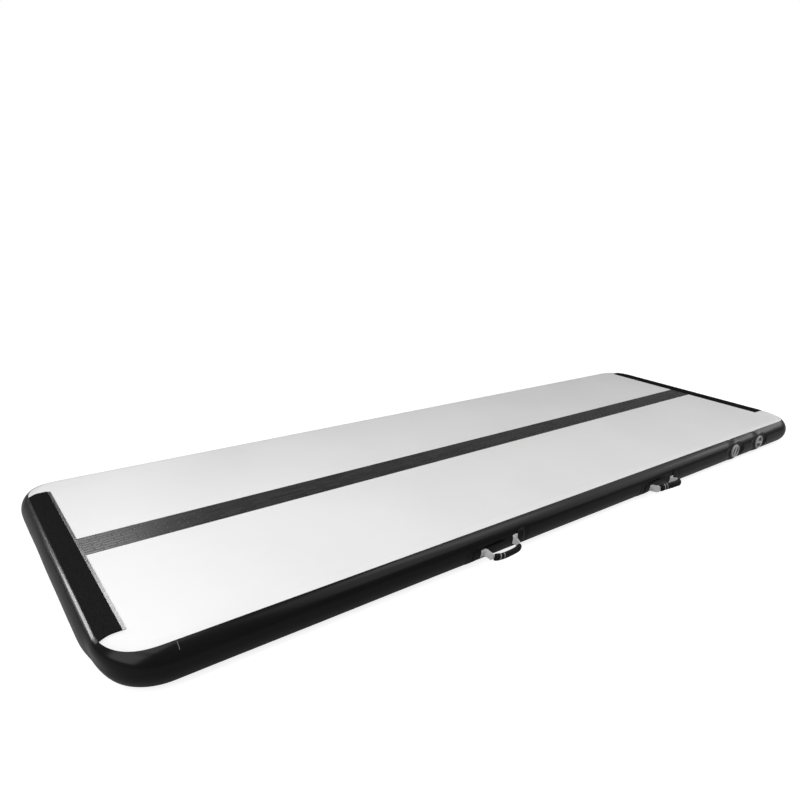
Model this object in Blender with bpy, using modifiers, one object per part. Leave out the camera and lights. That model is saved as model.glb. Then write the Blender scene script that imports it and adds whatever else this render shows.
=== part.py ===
"""Inflatable air track: a drop-stitch mat with a wrapped side wall, end strips, carry handles and two valves.

Metres, +Z up. The origin is the centre of the underside, +X runs along the mat and -Y is its front.
"""

import math

import bmesh
import bpy
from mathutils import Matrix, Vector

GAP = 0.0003  # clearance between pieces that lie on or slide in each other

# Mat
LENGTH = 3.0
WIDTH = 1.0
THICKNESS = 0.10
CORNER_RADIUS = 0.14
SKIN = 0.001
WALL = 0.001
WALL_EDGE = 0.0215  # light skin that shows round the rim before the wall starts, along the curve
END_EDGE = 0.031  # the same at the two ends
EDGE_TURN = 60.0  # degrees of a corner over which the wall's edge goes from one to the other
SKIN_LAP = 0.0125  # skin that the wall's edge hides
SEAM_TAPE_WIDTH = 0.024  # the wall's seams lie half a tape's width before the corners start
CORNER_STEPS = 8
RIM_STEPS = 8

# Drop-stitch core
CLOTH = 0.001
THREAD = 0.004
THREAD_PITCH = 0.3
THREAD_MARGIN = 0.06

# Centre stripe and end strips
STRIPE_WIDTH = 0.0955
STRIPE = 0.0005
PATCH = 0.0008
PATCH_SHORT = 0.108  # the patch stops this far before each side of the mat
PATCH_INNER = 0.028  # from the start of the rim inwards
PATCH_OUTER = 0.037  # from the start of the rim outwards, along the curve
JOGGLE_START = 0.006  # a patch starts to climb onto the wall this far before the wall's edge
JOGGLE_END = 0.001
STRIP = 0.0018
STRIP_SHORT = 0.114
STRIP_INNER = 0.020
STRIP_OUTER = 0.029
STRIP_STEPS = 7
STRIP_PITCH = 0.016  # between an end strip's rows where it runs into a corner
RIGHT_INWARDS = 0.028  # the right end's strip lies this much further onto the deck
RIGHT_ASIDE = 0.034  # and is off the middle by this

# Handles: each is centre x, side (-1 front, 1 back), droop and tilt in degrees, then how far its soft loop
# leans along the mat and how much further out one leg stands than the other, as a slope
HANDLES = (
    (-0.439, -1, 14.0, 4.5, 0.005, 0.02),
    (0.386, -1, -7.0, 3.0, 0.012, 0.16),
    (-0.439, 1, 14.0, 4.5, 0.005, 0.02),
    (0.386, 1, -7.0, 3.0, 0.012, 0.16),
)
HANDLE_DROP = 0.0065  # below half height
WEB = 0.002
WEB_WIDTH = 0.025
LEG_SPAN = 0.108
HANDLE_REACH = 0.039  # from the wall to the middle of the grip
HANDLE_SQUARENESS = 2.85
LEG_STRAIGHT = 0.009  # from the hinge outwards, before the loop leans
PIVOT_GAP = 0.0008
TAB_SHOWN = 0.018
TAB_HIDDEN = 0.022
ANCHOR = 0.001
ANCHOR_LENGTH = 0.052
ANCHOR_MARGIN = 0.0165  # patch above and below the webbing
ANCHOR_SLOPE = 0.006  # run over which an anchor patch climbs onto its webbing tab
GRIP_WALL = 0.0045  # rubber above and below the webbing
GRIP_PAD = 0.006  # rubber on the faces of the webbing
GRIP_START = 0.49  # where the grip starts round the loop, in radians
GRIP_END = 0.69  # and where it ends, from the other leg
GRIP_WEB_WIDTH = 0.014  # the webbing is folded narrower inside the grip
BEND_STEPS = 4
GRIP_STEPS = 10
GRIP_SIDES = 8

# Valves
VALVE_FROM_END = (0.57, 0.365)
VALVE_SEAM_FROM_END = 0.66  # the length of wall with the valves starts here
VALVE_RISE = 0.002  # above half height
VALVE_SEAT = 0.006  # the wall is drawn flat this far inside its widest line
PRESS_MARGIN = 0.0035  # flat wall round the flange
PRESS_RUN = 0.009  # shoulder from the flat to the round wall
PRESS_SPREAD = 0.6  # under 1 the flattened patch is longer along the mat than it is high
PRESS_STEPS = 6
BORE_RADIUS = 0.017
BARREL_WALL = 0.004
BARREL_DEPTH = 0.026
FLANGE_LIP = 0.010  # flange beyond the barrel
FLANGE = 0.003
SEAT_LEDGE = 0.004  # seat that stands into the bore
SEAT = 0.002
HUB_WALL = 0.003
HUB_TOP = -0.015
HUB = 0.005
SPOKE = 0.003
SPOKES = 3
STEM_RADIUS = 0.003
BUTTON_LIP = 0.003  # button beyond the stem
BUTTON_TOP = -0.0015
BUTTON = 0.002
DIAPHRAGM = 0.002
DIAPHRAGM_LAP = 0.003  # diaphragm that covers the seat
POPPET_LAP = 0.001
POPPET = 0.002
SPRING_CLEARANCE = 0.00105  # between the spring and the stem
SPRING_WIRE = 0.0009
SPRING_TURNS = 4
GASKET = 0.0015
NUT = 0.005
NUT_LIP = 0.006  # nut and gasket beyond the barrel
CAP_INSET = 0.004  # flange that shows round the cap
CAP = 0.005
CAP_RIM = 0.0035
CAP_BAR = 0.010
CAP_RECESS = 0.0038
PLUG_CLEARANCE = 0.0008  # between the plug and the bore
SEAL_CLEARANCE = 0.00025
SEAL_WIRE = 0.0017
TURN_STEPS = 24
SMALL_TURN_STEPS = 16

# Shapes that follow from the sizes above
RIM = THICKNESS / 2
LAP = GAP + WALL
EDGE_X = LENGTH / 2 - RIM - LAP
EDGE_Y = WIDTH / 2 - RIM - LAP
CORNER = CORNER_RADIUS - RIM - LAP
CORNER_X = EDGE_X - CORNER
CORNER_Y = EDGE_Y - CORNER
EDGE_ANGLE = WALL_EDGE / RIM
END_EDGE_ANGLE = END_EDGE / RIM
SKIN_LAP_ANGLE = SKIN_LAP / RIM
SEAM_X = CORNER_X - SEAM_TAPE_WIDTH / 2
WALL_RADIUS = RIM + LAP
PATCH_HALF_LENGTH = WIDTH / 2 - PATCH_SHORT
STRIP_HALF_LENGTH = WIDTH / 2 - STRIP_SHORT
HANDLE_Z = RIM - HANDLE_DROP
PIVOT = WEB_WIDTH / 2 + PIVOT_GAP
LOOP_OUT = HANDLE_REACH - PIVOT
FOLD_OUT = LEG_SPAN / 2 + WEB / 2 + GAP
ANCHOR_HEIGHT = WEB_WIDTH + 2 * ANCHOR_MARGIN
GRIP_HEIGHT = GRIP_WEB_WIDTH + 2 * GRIP_WALL
GRIP_DEPTH = WEB + 2 * GRIP_PAD
VALVE_X = tuple(LENGTH / 2 - away for away in VALVE_FROM_END)
VALVE_Y = WIDTH / 2 - VALVE_SEAT
VALVE_Z = RIM + VALVE_RISE
VALVE_SEAM_X = LENGTH / 2 - VALVE_SEAM_FROM_END
BARREL_RADIUS = BORE_RADIUS + BARREL_WALL
FLANGE_RADIUS = BARREL_RADIUS + FLANGE_LIP
SEAT_RADIUS = BORE_RADIUS - SEAT_LEDGE
NUT_RADIUS = BARREL_RADIUS + NUT_LIP
CAP_RADIUS = FLANGE_RADIUS - CAP_INSET
PLUG_RADIUS = BORE_RADIUS - PLUG_CLEARANCE
PLUG_TOP = FLANGE + 2 * GAP
SEAL_RADIUS = BORE_RADIUS - SEAL_CLEARANCE - SEAL_WIRE / 2
HUB_RADIUS = STEM_RADIUS + HUB_WALL
BUTTON_RADIUS = STEM_RADIUS + BUTTON_LIP
SPRING_RADIUS = STEM_RADIUS + SPRING_CLEARANCE + SPRING_WIRE / 2
DIAPHRAGM_RADIUS = SEAT_RADIUS + DIAPHRAGM_LAP
POPPET_RADIUS = SEAT_RADIUS + POPPET_LAP
PRESS_FLAT = FLANGE_RADIUS + PRESS_MARGIN
WALL_EDGE_RISE = (RIM + GAP) * math.cos(EDGE_ANGLE) - VALVE_RISE
PRESS_END = min(PRESS_FLAT + PRESS_RUN, WALL_EDGE_RISE + GAP)  # the shoulder ends at the wall's edge


def collection(name):
    """A new collection in the scene."""
    made = bpy.data.collections.new(name)
    bpy.context.scene.collection.children.link(made)
    return made


def material(name, colour, roughness, metallic=0.0):
    """A Principled material of one colour, given as linear RGB."""
    made = bpy.data.materials.new(name)
    made.use_nodes = True
    shader = made.node_tree.nodes["Principled BSDF"]
    shader.inputs["Base Color"].default_value = (*colour, 1.0)
    shader.inputs["Roughness"].default_value = roughness
    shader.inputs["Metallic"].default_value = metallic
    return made


def put(name, data, finish, group):
    """Adds one object with its material to a collection."""
    if not data.materials:
        data.materials.append(finish)
    made = bpy.data.objects.new(name, data)
    group.objects.link(made)
    return made


def empty(name, location, rotation):
    """A frame that pieces hang on, such as a hinge axis."""
    made = bpy.data.objects.new(name, None)
    made.empty_display_size = 0.02
    made.location = location
    made.rotation_euler = rotation
    PARTS.objects.link(made)
    return made


def thicken(obj, thickness, offset):
    """Solidify to an even thickness: offset 1 is outwards, 0 both ways."""
    solid = obj.modifiers.new("thickness", "SOLIDIFY")
    solid.thickness = thickness
    solid.offset = offset
    solid.use_even_offset = True


def smooth(mesh):
    """Smooth shading with creases kept sharp."""
    mesh.shade_smooth()
    mesh.set_sharp_from_angle(angle=math.radians(35))


def quads(bm, rows, closed=False):
    """Joins rows of points, each row's next point being further down, with outward quads."""
    verts = [[bm.verts.new(point) for point in row] for row in rows]
    pairs = list(zip(verts, verts[1:]))
    if closed:
        pairs.append((verts[-1], verts[0]))
    for left, right in pairs:
        for k in range(len(left) - 1):
            bm.faces.new((left[k], left[k + 1], right[k + 1], right[k]))
    return verts


def mesh_from(bm, name):
    """The mesh of a finished bmesh, smooth shaded."""
    mesh = bpy.data.meshes.new(name)
    bm.to_mesh(mesh)
    bm.free()
    smooth(mesh)
    return mesh


def sheet(name, rows, thickness, finish, group, offset=1.0):
    """A sheet whose rows of points lie on its underside, thickened outwards."""
    bm = bmesh.new()
    quads(bm, rows)
    made = put(name, mesh_from(bm, name), finish, group)
    thicken(made, thickness, offset)
    return made


def baked(obj, *helpers):
    """The object's mesh with its modifiers applied, after which it and its helpers are gone."""
    graph = bpy.context.evaluated_depsgraph_get()
    mesh = bpy.data.meshes.new_from_object(obj.evaluated_get(graph))
    for used in (obj, *helpers):
        bpy.data.objects.remove(used)
    smooth(mesh)
    return mesh


def boolean(obj, operation, other):
    """Cuts or joins another mesh."""
    change = obj.modifiers.new(operation.lower(), "BOOLEAN")
    change.operation = operation
    change.object = other


def spaced(first, last, steps):
    """Evenly spaced values from first to last."""
    return [first + (last - first) * i / steps for i in range(steps + 1)]


def ease(value, start, end):
    """0 before start, 1 after end, smooth between."""
    share = min(max((value - start) / (end - start), 0.0), 1.0)
    return share * share * (3 - 2 * share)


def arc(centre_x, centre_y, start):
    """Stations round one corner of the rim's centre line: place, then outward direction."""
    turns = [math.radians(turn) for turn in spaced(start, start + 90, CORNER_STEPS)]
    return [
        (centre_x + CORNER * math.cos(t), centre_y + CORNER * math.sin(t), math.cos(t), math.sin(t))
        for t in turns
    ]


def rim_stations():
    """Stations once round the rim's centre line."""
    right = arc(CORNER_X, -CORNER_Y, -90) + arc(CORNER_X, CORNER_Y, 0)
    left = arc(-CORNER_X, CORNER_Y, 90) + arc(-CORNER_X, -CORNER_Y, 180)
    return right + left


def edge_angle(station):
    """Where the wall's edge lies round the rim: higher on the sides than at the ends."""
    share = ease(abs(station[2]), 0.0, math.sin(math.radians(EDGE_TURN)))
    return EDGE_ANGLE + (END_EDGE_ANGLE - EDGE_ANGLE) * share


def wall_row(station):
    """Points round the wall from edge to edge, one of them where the skin under it ends."""
    edge = edge_angle(station)
    under = edge + SKIN_LAP_ANGLE
    angles = [edge, *spaced(under, math.pi - under, RIM_STEPS), math.pi - edge]
    return [rim_point(station, a, RIM + GAP) for a in angles]


def skin_row(station, under):
    """Points of a skin downwards, between the start of the rim and the skin's end under the wall."""
    edge = edge_angle(station)
    angles = [0.0, edge / 2, edge, edge + SKIN_LAP_ANGLE]
    if under:
        angles = [math.pi - a for a in reversed(angles)]
    return [rim_point(station, a, RIM - SKIN) for a in angles]


def rim_point(station, angle, radius):
    """A point on the rim, angle being 0 on top, a quarter turn at the widest line."""
    x, y, out_x, out_y = station
    reach = radius * math.sin(angle)
    return (x + out_x * reach, y + out_y * reach, RIM + radius * math.cos(angle))


def half_turned(obj):
    """Turns a piece made for the right end or the front to the other end or side."""
    obj.rotation_euler = (0.0, 0.0, math.pi)
    return obj


def skins():
    """Deck and base: flat sheets whose edges wrap round the rim and go under the side wall."""
    stations = rim_stations()
    for name, finish, under in (("deck_skin", LIGHT_PVC, False), ("base_skin", BASE_PVC, True)):
        bm = bmesh.new()
        verts = quads(bm, [skin_row(s, under) for s in stations], closed=True)
        bm.faces.new([row[-1] for row in reversed(verts)] if under else [row[0] for row in verts])
        thicken(put(name, mesh_from(bm, name), finish, PARTS), SKIN, 1.0)


def pressed(point):
    """Draws a front wall point onto the flat seat of a valve that is near it."""
    x, y, z = point
    for valve_x in VALVE_X:
        away = math.hypot((x - valve_x) * PRESS_SPREAD, z - VALVE_Z)
        pull = 1 - ease(away, PRESS_FLAT, PRESS_END)
        y += (WALL - VALVE_Y - y) * pull
    return (x, y, z)


def straight_wall(name, stations):
    """A straight length of the front's black wall, flattened at the valves that it reaches."""
    rows = [[pressed(point) for point in wall_row((x, -EDGE_Y, 0, -1))] for x in stations]
    return sheet(name, rows, WALL, BLACK_PVC, PARTS)


def side_walls():
    """The black wall in lengths that meet at the seams, one of them pierced for the valves."""
    end = SEAM_X - GAP
    reach = PRESS_END / PRESS_SPREAD
    straight_wall("front_wall", (-end, VALVE_SEAM_X - GAP))
    stations = {VALVE_SEAM_X + GAP, end}
    for valve_x in VALVE_X:
        stations.update(spaced(valve_x - reach, valve_x + reach, 2 * PRESS_STEPS))
    wall = straight_wall("valve_wall", sorted(stations))
    for number, valve_x in enumerate(VALVE_X, 1):
        boolean(wall, "DIFFERENCE", valve_hole(f"valve_{number}_hole", valve_x))
    back = [wall_row((x, -EDGE_Y, 0, -1)) for x in (-end, end)]
    half_turned(sheet("back_wall", back, WALL, BLACK_PVC, PARTS))
    start = SEAM_X + GAP
    path = [(start, -EDGE_Y, 0, -1), *arc(CORNER_X, -CORNER_Y, -90)]
    path += [*arc(CORNER_X, CORNER_Y, 0), (start, EDGE_Y, 0, 1)]
    rows = [wall_row(s) for s in path]
    sheet("right_wall", rows, WALL, BLACK_PVC, PARTS)
    half_turned(sheet("left_wall", rows, WALL, BLACK_PVC, PARTS))


def valve_hole(name, valve_x):
    """Cutter for a valve's barrel."""
    bm = bmesh.new()
    radius = BARREL_RADIUS + 2 * GAP
    bmesh.ops.create_cone(
        bm, cap_ends=True, segments=TURN_STEPS, radius1=radius, radius2=radius, depth=4 * VALVE_SEAT
    )
    cutter = put(name, mesh_from(bm, name), BLACK_PVC, CUTTERS)
    cutter.location = (valve_x, -VALVE_Y, VALVE_Z)
    cutter.rotation_euler = (math.pi / 2, 0, 0)
    cutter.hide_render = True
    cutter.display_type = "WIRE"
    return cutter


def seam_tapes():
    """Tapes behind the butt seams of the side wall."""
    first = EDGE_ANGLE + SKIN_LAP_ANGLE + 2 * GAP / RIM
    angles = spaced(first, math.pi - first, RIM_STEPS)
    for name, x, front in (
        ("front_left", -SEAM_X, True),
        ("front_right", SEAM_X, True),
        ("valve", VALVE_SEAM_X, True),
        ("back_left", SEAM_X, False),
        ("back_right", -SEAM_X, False),
    ):
        across = (x - SEAM_TAPE_WIDTH / 2, x + SEAM_TAPE_WIDTH / 2)
        rows = [[rim_point((u, -EDGE_Y, 0, -1), a, RIM - WALL) for a in angles] for u in across]
        tape = sheet(f"{name}_seam_tape", rows, WALL, BLACK_PVC, PARTS)
        if not front:
            half_turned(tape)


def core():
    """Two base cloths held apart by drop threads, with far fewer and thicker threads than the real weave."""
    stations = rim_stations()
    lowest = SKIN + GAP
    cloths = []
    for name, z in (("lower_cloth", lowest), ("upper_cloth", THICKNESS - lowest - CLOTH)):
        bm = bmesh.new()
        face = bm.faces.new([bm.verts.new((s[0], s[1], z)) for s in stations])
        grown = bmesh.ops.extrude_face_region(bm, geom=[face])["geom"]
        bmesh.ops.translate(
            bm, vec=(0, 0, CLOTH), verts=[v for v in grown if isinstance(v, bmesh.types.BMVert)]
        )
        bmesh.ops.recalc_face_normals(bm, faces=bm.faces)
        cloths.append(put(name, mesh_from(bm, name), CLOTH_YARN, CUTTERS))
    bm = bmesh.new()
    half_x, half_y = EDGE_X - THREAD_MARGIN, EDGE_Y - THREAD_MARGIN
    height = THICKNESS - 2 * lowest - CLOTH
    for x in spaced(-half_x, half_x, round(2 * half_x / THREAD_PITCH)):
        for y in spaced(-half_y, half_y, round(2 * half_y / THREAD_PITCH)):
            place = Matrix.Translation((x, y, RIM)) @ Matrix.Diagonal((THREAD, THREAD, height, 1))
            bmesh.ops.create_cube(bm, size=1.0, matrix=place)
    threads = put("threads", mesh_from(bm, "threads"), CLOTH_YARN, CUTTERS)
    for cloth in cloths:
        boolean(threads, "UNION", cloth)
    mesh = baked(threads, *cloths)
    mesh.name = "drop_stitch_core"
    put("drop_stitch_core", mesh, CLOTH_YARN, PARTS)


def stripe():
    """The centre stripe, between the two end patches."""
    bm = bmesh.new()
    length = 2 * (EDGE_X - PATCH_INNER - GAP) - RIGHT_INWARDS
    place = Matrix.Translation((-RIGHT_INWARDS / 2, 0, THICKNESS + GAP + STRIPE / 2))
    bmesh.ops.create_cube(
        bm, size=1.0, matrix=place @ Matrix.Diagonal((length, STRIPE_WIDTH, STRIPE, 1))
    )
    put("centre_stripe", mesh_from(bm, "centre_stripe"), STRIPE_PVC, PARTS)


def end_point(y, angle, lift):
    """A point on the right end's rim at this y, raised over the wall's edge where it is under it."""
    raised = RIM + lift + LAP * ease(angle * RIM, END_EDGE - JOGGLE_START, END_EDGE - JOGGLE_END)
    reach = raised * math.sin(angle)
    into_corner = max(abs(y) - CORNER_Y, 0.0)
    x = CORNER_X + math.sqrt((CORNER + reach) ** 2 - into_corner**2)
    return (x, y, RIM + raised * math.cos(angle))


def into_corner(last):
    """Stations from where a corner starts to a strip's end, or that end alone if it comes first."""
    if last <= CORNER_Y:
        return [last]
    return spaced(CORNER_Y, last, max(1, round((last - CORNER_Y) / STRIP_PITCH)))


def end_rows(half_length, inner, outer, lift, inwards=0.0, aside=0.0):
    """Rows of an end strip: a straight inner edge on the deck, then round the rim."""
    front = [-y for y in reversed(into_corner(half_length - aside))]
    rows = []
    for y in front + into_corner(half_length + aside):
        row = [(EDGE_X - inner - inwards, y, THICKNESS + lift)]
        row += [end_point(y, a, lift) for a in spaced(0.0, (outer - inwards) / RIM, STRIP_STEPS)]
        rows.append(row)
    return rows


def end_strips():
    """A hook-and-loop strip on its backing patch at each end, to join mats end to end."""
    patch = (PATCH_HALF_LENGTH, PATCH_INNER, PATCH_OUTER, GAP)
    strip = (STRIP_HALF_LENGTH, STRIP_INNER, STRIP_OUTER, PATCH + 2 * GAP)
    sheet("right_patch", end_rows(*patch, RIGHT_INWARDS, RIGHT_ASIDE), PATCH, BLACK_PVC, PARTS)
    sheet("right_hook_strip", end_rows(*strip, RIGHT_INWARDS, RIGHT_ASIDE), STRIP, PILE, PARTS)
    half_turned(sheet("left_patch", end_rows(*patch), PATCH, BLACK_PVC, PARTS))
    half_turned(sheet("left_loop_strip", end_rows(*strip), STRIP, PILE, PARTS))


def wall_point(middle, along, down, lift):
    """A point on the front wall, in a handle's directions along and across its webbing, down being positive."""
    x, tilt = middle
    fall = down * math.cos(tilt) - along * math.sin(tilt)
    angle = math.acos((HANDLE_Z - RIM) / WALL_RADIUS) + fall / WALL_RADIUS
    station = (x + along * math.cos(tilt) + down * math.sin(tilt), -EDGE_Y, 0, -1)
    return rim_point(station, angle, WALL_RADIUS + lift)


def tab(name, middle, outward):
    """The webbing end that lies on the wall, from the fold to under its anchor patch."""
    ends = sorted((outward * FOLD_OUT, outward * (FOLD_OUT + TAB_SHOWN + TAB_HIDDEN)))
    down = spaced(-WEB_WIDTH / 2, WEB_WIDTH / 2, 4)
    return sheet(name, [[wall_point(middle, x, s, GAP) for s in down] for x in ends], WEB, WEBBING, PARTS)


def anchor(name, middle, outward):
    """The patch that covers a tab's end: it lies on the wall and climbs over the webbing."""
    start = FOLD_OUT + TAB_SHOWN
    cover = TAB_HIDDEN + 3 * GAP
    plateau = WEB_WIDTH / 2 + 3 * GAP
    foot = plateau + ANCHOR_SLOPE
    half = ANCHOR_HEIGHT / 2
    upper = [half, foot, plateau, plateau / 2]
    down = [-s for s in upper] + [0.0] + upper[::-1]
    rows = []
    for run in (0.0, cover, cover + ANCHOR_SLOPE, ANCHOR_LENGTH):
        over = 1 - ease(run, cover, cover + ANCHOR_SLOPE)
        row = []
        for s in down:
            climb = over * (1 - ease(abs(s), plateau, foot))
            row.append(wall_point(middle, outward * (start + run), s, 2 * GAP + (WEB + GAP) * climb))
        rows.append(row)
    return sheet(name, rows if outward > 0 else rows[::-1], ANCHOR, BLACK_PVC, PARTS)


def loop_point(turn, lean, skew):
    """The middle of the handle's loop in its own plane: x, and distance out from the hinge axis."""
    power = 2 / HANDLE_SQUARENESS
    x = LEG_SPAN / 2 * math.copysign(abs(math.cos(turn)) ** power, -math.cos(turn))
    out = LOOP_OUT * math.sin(turn) ** power
    away = ease(out, LEG_STRAIGHT, LOOP_OUT)
    return Vector((x + lean * away, -out - skew * x * away, 0))


def web_half_width(turn):
    """The webbing is full width on the legs and narrows into the grip."""
    full, narrow = WEB_WIDTH / 2, GRIP_WEB_WIDTH / 2
    into = ease(turn, GRIP_START / 2, GRIP_START) * ease(math.pi - turn, GRIP_END / 2, GRIP_END)
    return full + (narrow - full) * into


def grip_turns():
    """Stations along the grip."""
    return spaced(GRIP_START, math.pi - GRIP_END, GRIP_STEPS)


def loop_turns():
    """Stations round the loop, with the grip's two ends among them."""
    first = spaced(0.0, GRIP_START, BEND_STEPS)[:-1]
    last = spaced(math.pi - GRIP_END, math.pi, BEND_STEPS)[1:]
    return first + grip_turns() + last


def strap_mesh(lean, skew):
    """The moving webbing: two legs whose round ends turn on the hinge axis, and the loop between them."""
    round_end = [math.radians(d) for d in (8, 25, 45, 65)]
    legs = [(WEB_WIDTH / 2 * math.cos(t), WEB_WIDTH / 2 * math.sin(t)) for t in round_end]
    stations = [(Vector((-LEG_SPAN / 2, y, 0)), half) for y, half in legs]
    stations += [(loop_point(t, lean, skew), web_half_width(t)) for t in loop_turns()]
    stations += [(Vector((LEG_SPAN / 2, y, 0)), half) for y, half in reversed(legs)]
    rows = [[p + Vector((0, 0, half)), p - Vector((0, 0, half))] for p, half in stations]
    return baked(sheet("strap", rows, WEB, WEBBING, CUTTERS, offset=0.0))


def grip_mesh(lean, skew):
    """The grip: an oval sleeve round the loop with a slot for the webbing."""
    sides = [2 * math.pi * k / GRIP_SIDES for k in range(GRIP_SIDES)]
    slot_depth = WEB / 2 + 2 * GAP
    slot_half = GRIP_WEB_WIDTH / 2 + 3 * GAP
    bm = bmesh.new()
    outer, slot = [], []
    for t in grip_turns():
        middle = loop_point(t, lean, skew)
        run = (loop_point(t + 0.01, lean, skew) - loop_point(t - 0.01, lean, skew)).normalized()
        across = Vector((-run.y, run.x, 0))
        up = Vector((0, 0, 1))
        oval = [across * GRIP_DEPTH / 2 * math.cos(s) + up * GRIP_HEIGHT / 2 * math.sin(s) for s in sides]
        cut = []
        for s in sides:
            square = 1 / max(abs(math.cos(s)), abs(math.sin(s)))
            cut.append(across * slot_depth * math.cos(s) * square + up * slot_half * math.sin(s) * square)
        outer.append([bm.verts.new(middle + p) for p in oval])
        slot.append([bm.verts.new(middle + p) for p in cut])
    for a, b, c, d in zip(outer, outer[1:], slot, slot[1:]):
        for k in range(GRIP_SIDES):
            n = (k + 1) % GRIP_SIDES
            bm.faces.new((a[k], a[n], b[n], b[k]))
            bm.faces.new((c[k], d[k], d[n], c[n]))
    for k in range(GRIP_SIDES):
        n = (k + 1) % GRIP_SIDES
        bm.faces.new((outer[0][k], slot[0][k], slot[0][n], outer[0][n]))
        bm.faces.new((outer[-1][k], outer[-1][n], slot[-1][n], slot[-1][k]))
    bmesh.ops.recalc_face_normals(bm, faces=bm.faces)
    return mesh_from(bm, "grip")


def handles():
    """Two carry handles on each long side, each hinged where its webbing leaves the wall."""
    for number, (x, side, droop, tilt, lean, skew) in enumerate(HANDLES, 1):
        turn = 0.0 if side < 0 else math.pi
        rise = math.radians(tilt)
        middle = (-side * x, rise)
        for end, outward in (("a", -1), ("b", 1)):
            for made in (
                tab(f"handle_{number}_tab_{end}", middle, outward),
                anchor(f"handle_{number}_anchor_{end}", middle, outward),
            ):
                made.rotation_euler = (0.0, 0.0, turn)
        hinge = empty(
            f"handle_{number}_hinge",
            (x, side * (WIDTH / 2 + PIVOT), HANDLE_Z),
            (math.radians(droop), -rise, turn),
        )
        strap, grip = strap_mesh(lean, skew), grip_mesh(lean, skew)
        for name, mesh, finish in (("strap", strap, WEBBING), ("grip", grip, GRIP_RUBBER)):
            put(f"handle_{number}_{name}", mesh, finish, PARTS).parent = hinge


def turned(name, profile, finish, closed=True, steps=TURN_STEPS):
    """A turned piece: the profile of (radius, height) runs down its outer side."""
    mesh = bpy.data.meshes.new(name)
    edges = [(i, i + 1) for i in range(len(profile) - 1)]
    if closed:
        edges.append((len(profile) - 1, 0))
    mesh.from_pydata([(r, 0, z) for r, z in profile], edges, [])
    made = put(name, mesh, finish, CUTTERS)
    screw = made.modifiers.new("turn", "SCREW")
    screw.steps = screw.render_steps = steps
    screw.use_merge_vertices = True
    screw.merge_threshold = 1e-5
    return made


def ring(name, outer, inner, top, height, finish, steps=TURN_STEPS):
    """A turned ring with a square section, hanging down from its top."""
    bottom = top - height
    return turned(name, [(outer, top), (outer, bottom), (inner, bottom), (inner, top)], finish, steps=steps)


def valve_body():
    """The outer valve body: flange, barrel with its seat, and the spider that guides the stem."""
    top = GAP + FLANGE
    ease_edge = FLANGE / 3
    body = turned(
        "body",
        [
            (FLANGE_RADIUS - ease_edge, top),
            (FLANGE_RADIUS, top - ease_edge),
            (FLANGE_RADIUS, GAP),
            (BARREL_RADIUS, GAP),
            (BARREL_RADIUS, -BARREL_DEPTH),
            (SEAT_RADIUS, -BARREL_DEPTH),
            (SEAT_RADIUS, SEAT - BARREL_DEPTH),
            (BORE_RADIUS, SEAT - BARREL_DEPTH),
            (BORE_RADIUS, top),
        ],
        VALVE_PLASTIC,
    )
    hub = ring("hub", HUB_RADIUS, STEM_RADIUS + GAP, HUB_TOP, HUB, VALVE_PLASTIC, SMALL_TURN_STEPS)
    helpers = [hub]
    first, last = (HUB_RADIUS + STEM_RADIUS) / 2, (BORE_RADIUS + BARREL_RADIUS) / 2
    for k in range(SPOKES):
        bm = bmesh.new()
        place = Matrix.Rotation(2 * math.pi * k / SPOKES, 4, "Z")
        place @= Matrix.Translation(((first + last) / 2, 0, HUB_TOP - HUB / 2))
        place @= Matrix.Diagonal((last - first, SPOKE, HUB / 2, 1))
        bmesh.ops.create_cube(bm, size=1.0, matrix=place)
        helpers.append(put(f"spoke_{k}", mesh_from(bm, "spoke"), VALVE_PLASTIC, CUTTERS))
    for helper in helpers:
        boolean(body, "UNION", helper)
    return baked(body, *helpers)


def valve_stem():
    """The poppet: a push button, its shaft and the disc that carries the diaphragm."""
    under = -BARREL_DEPTH - 2 * GAP - DIAPHRAGM
    bottom = under - GAP - POPPET
    profile = [
        (0, BUTTON_TOP),
        (BUTTON_RADIUS, BUTTON_TOP),
        (BUTTON_RADIUS, BUTTON_TOP - BUTTON),
        (STEM_RADIUS, BUTTON_TOP - BUTTON),
        (STEM_RADIUS, under - GAP),
        (POPPET_RADIUS, under - GAP),
        (POPPET_RADIUS, bottom),
        (0, bottom),
    ]
    return baked(turned("stem", profile, VALVE_PLASTIC, closed=False, steps=SMALL_TURN_STEPS))


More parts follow.
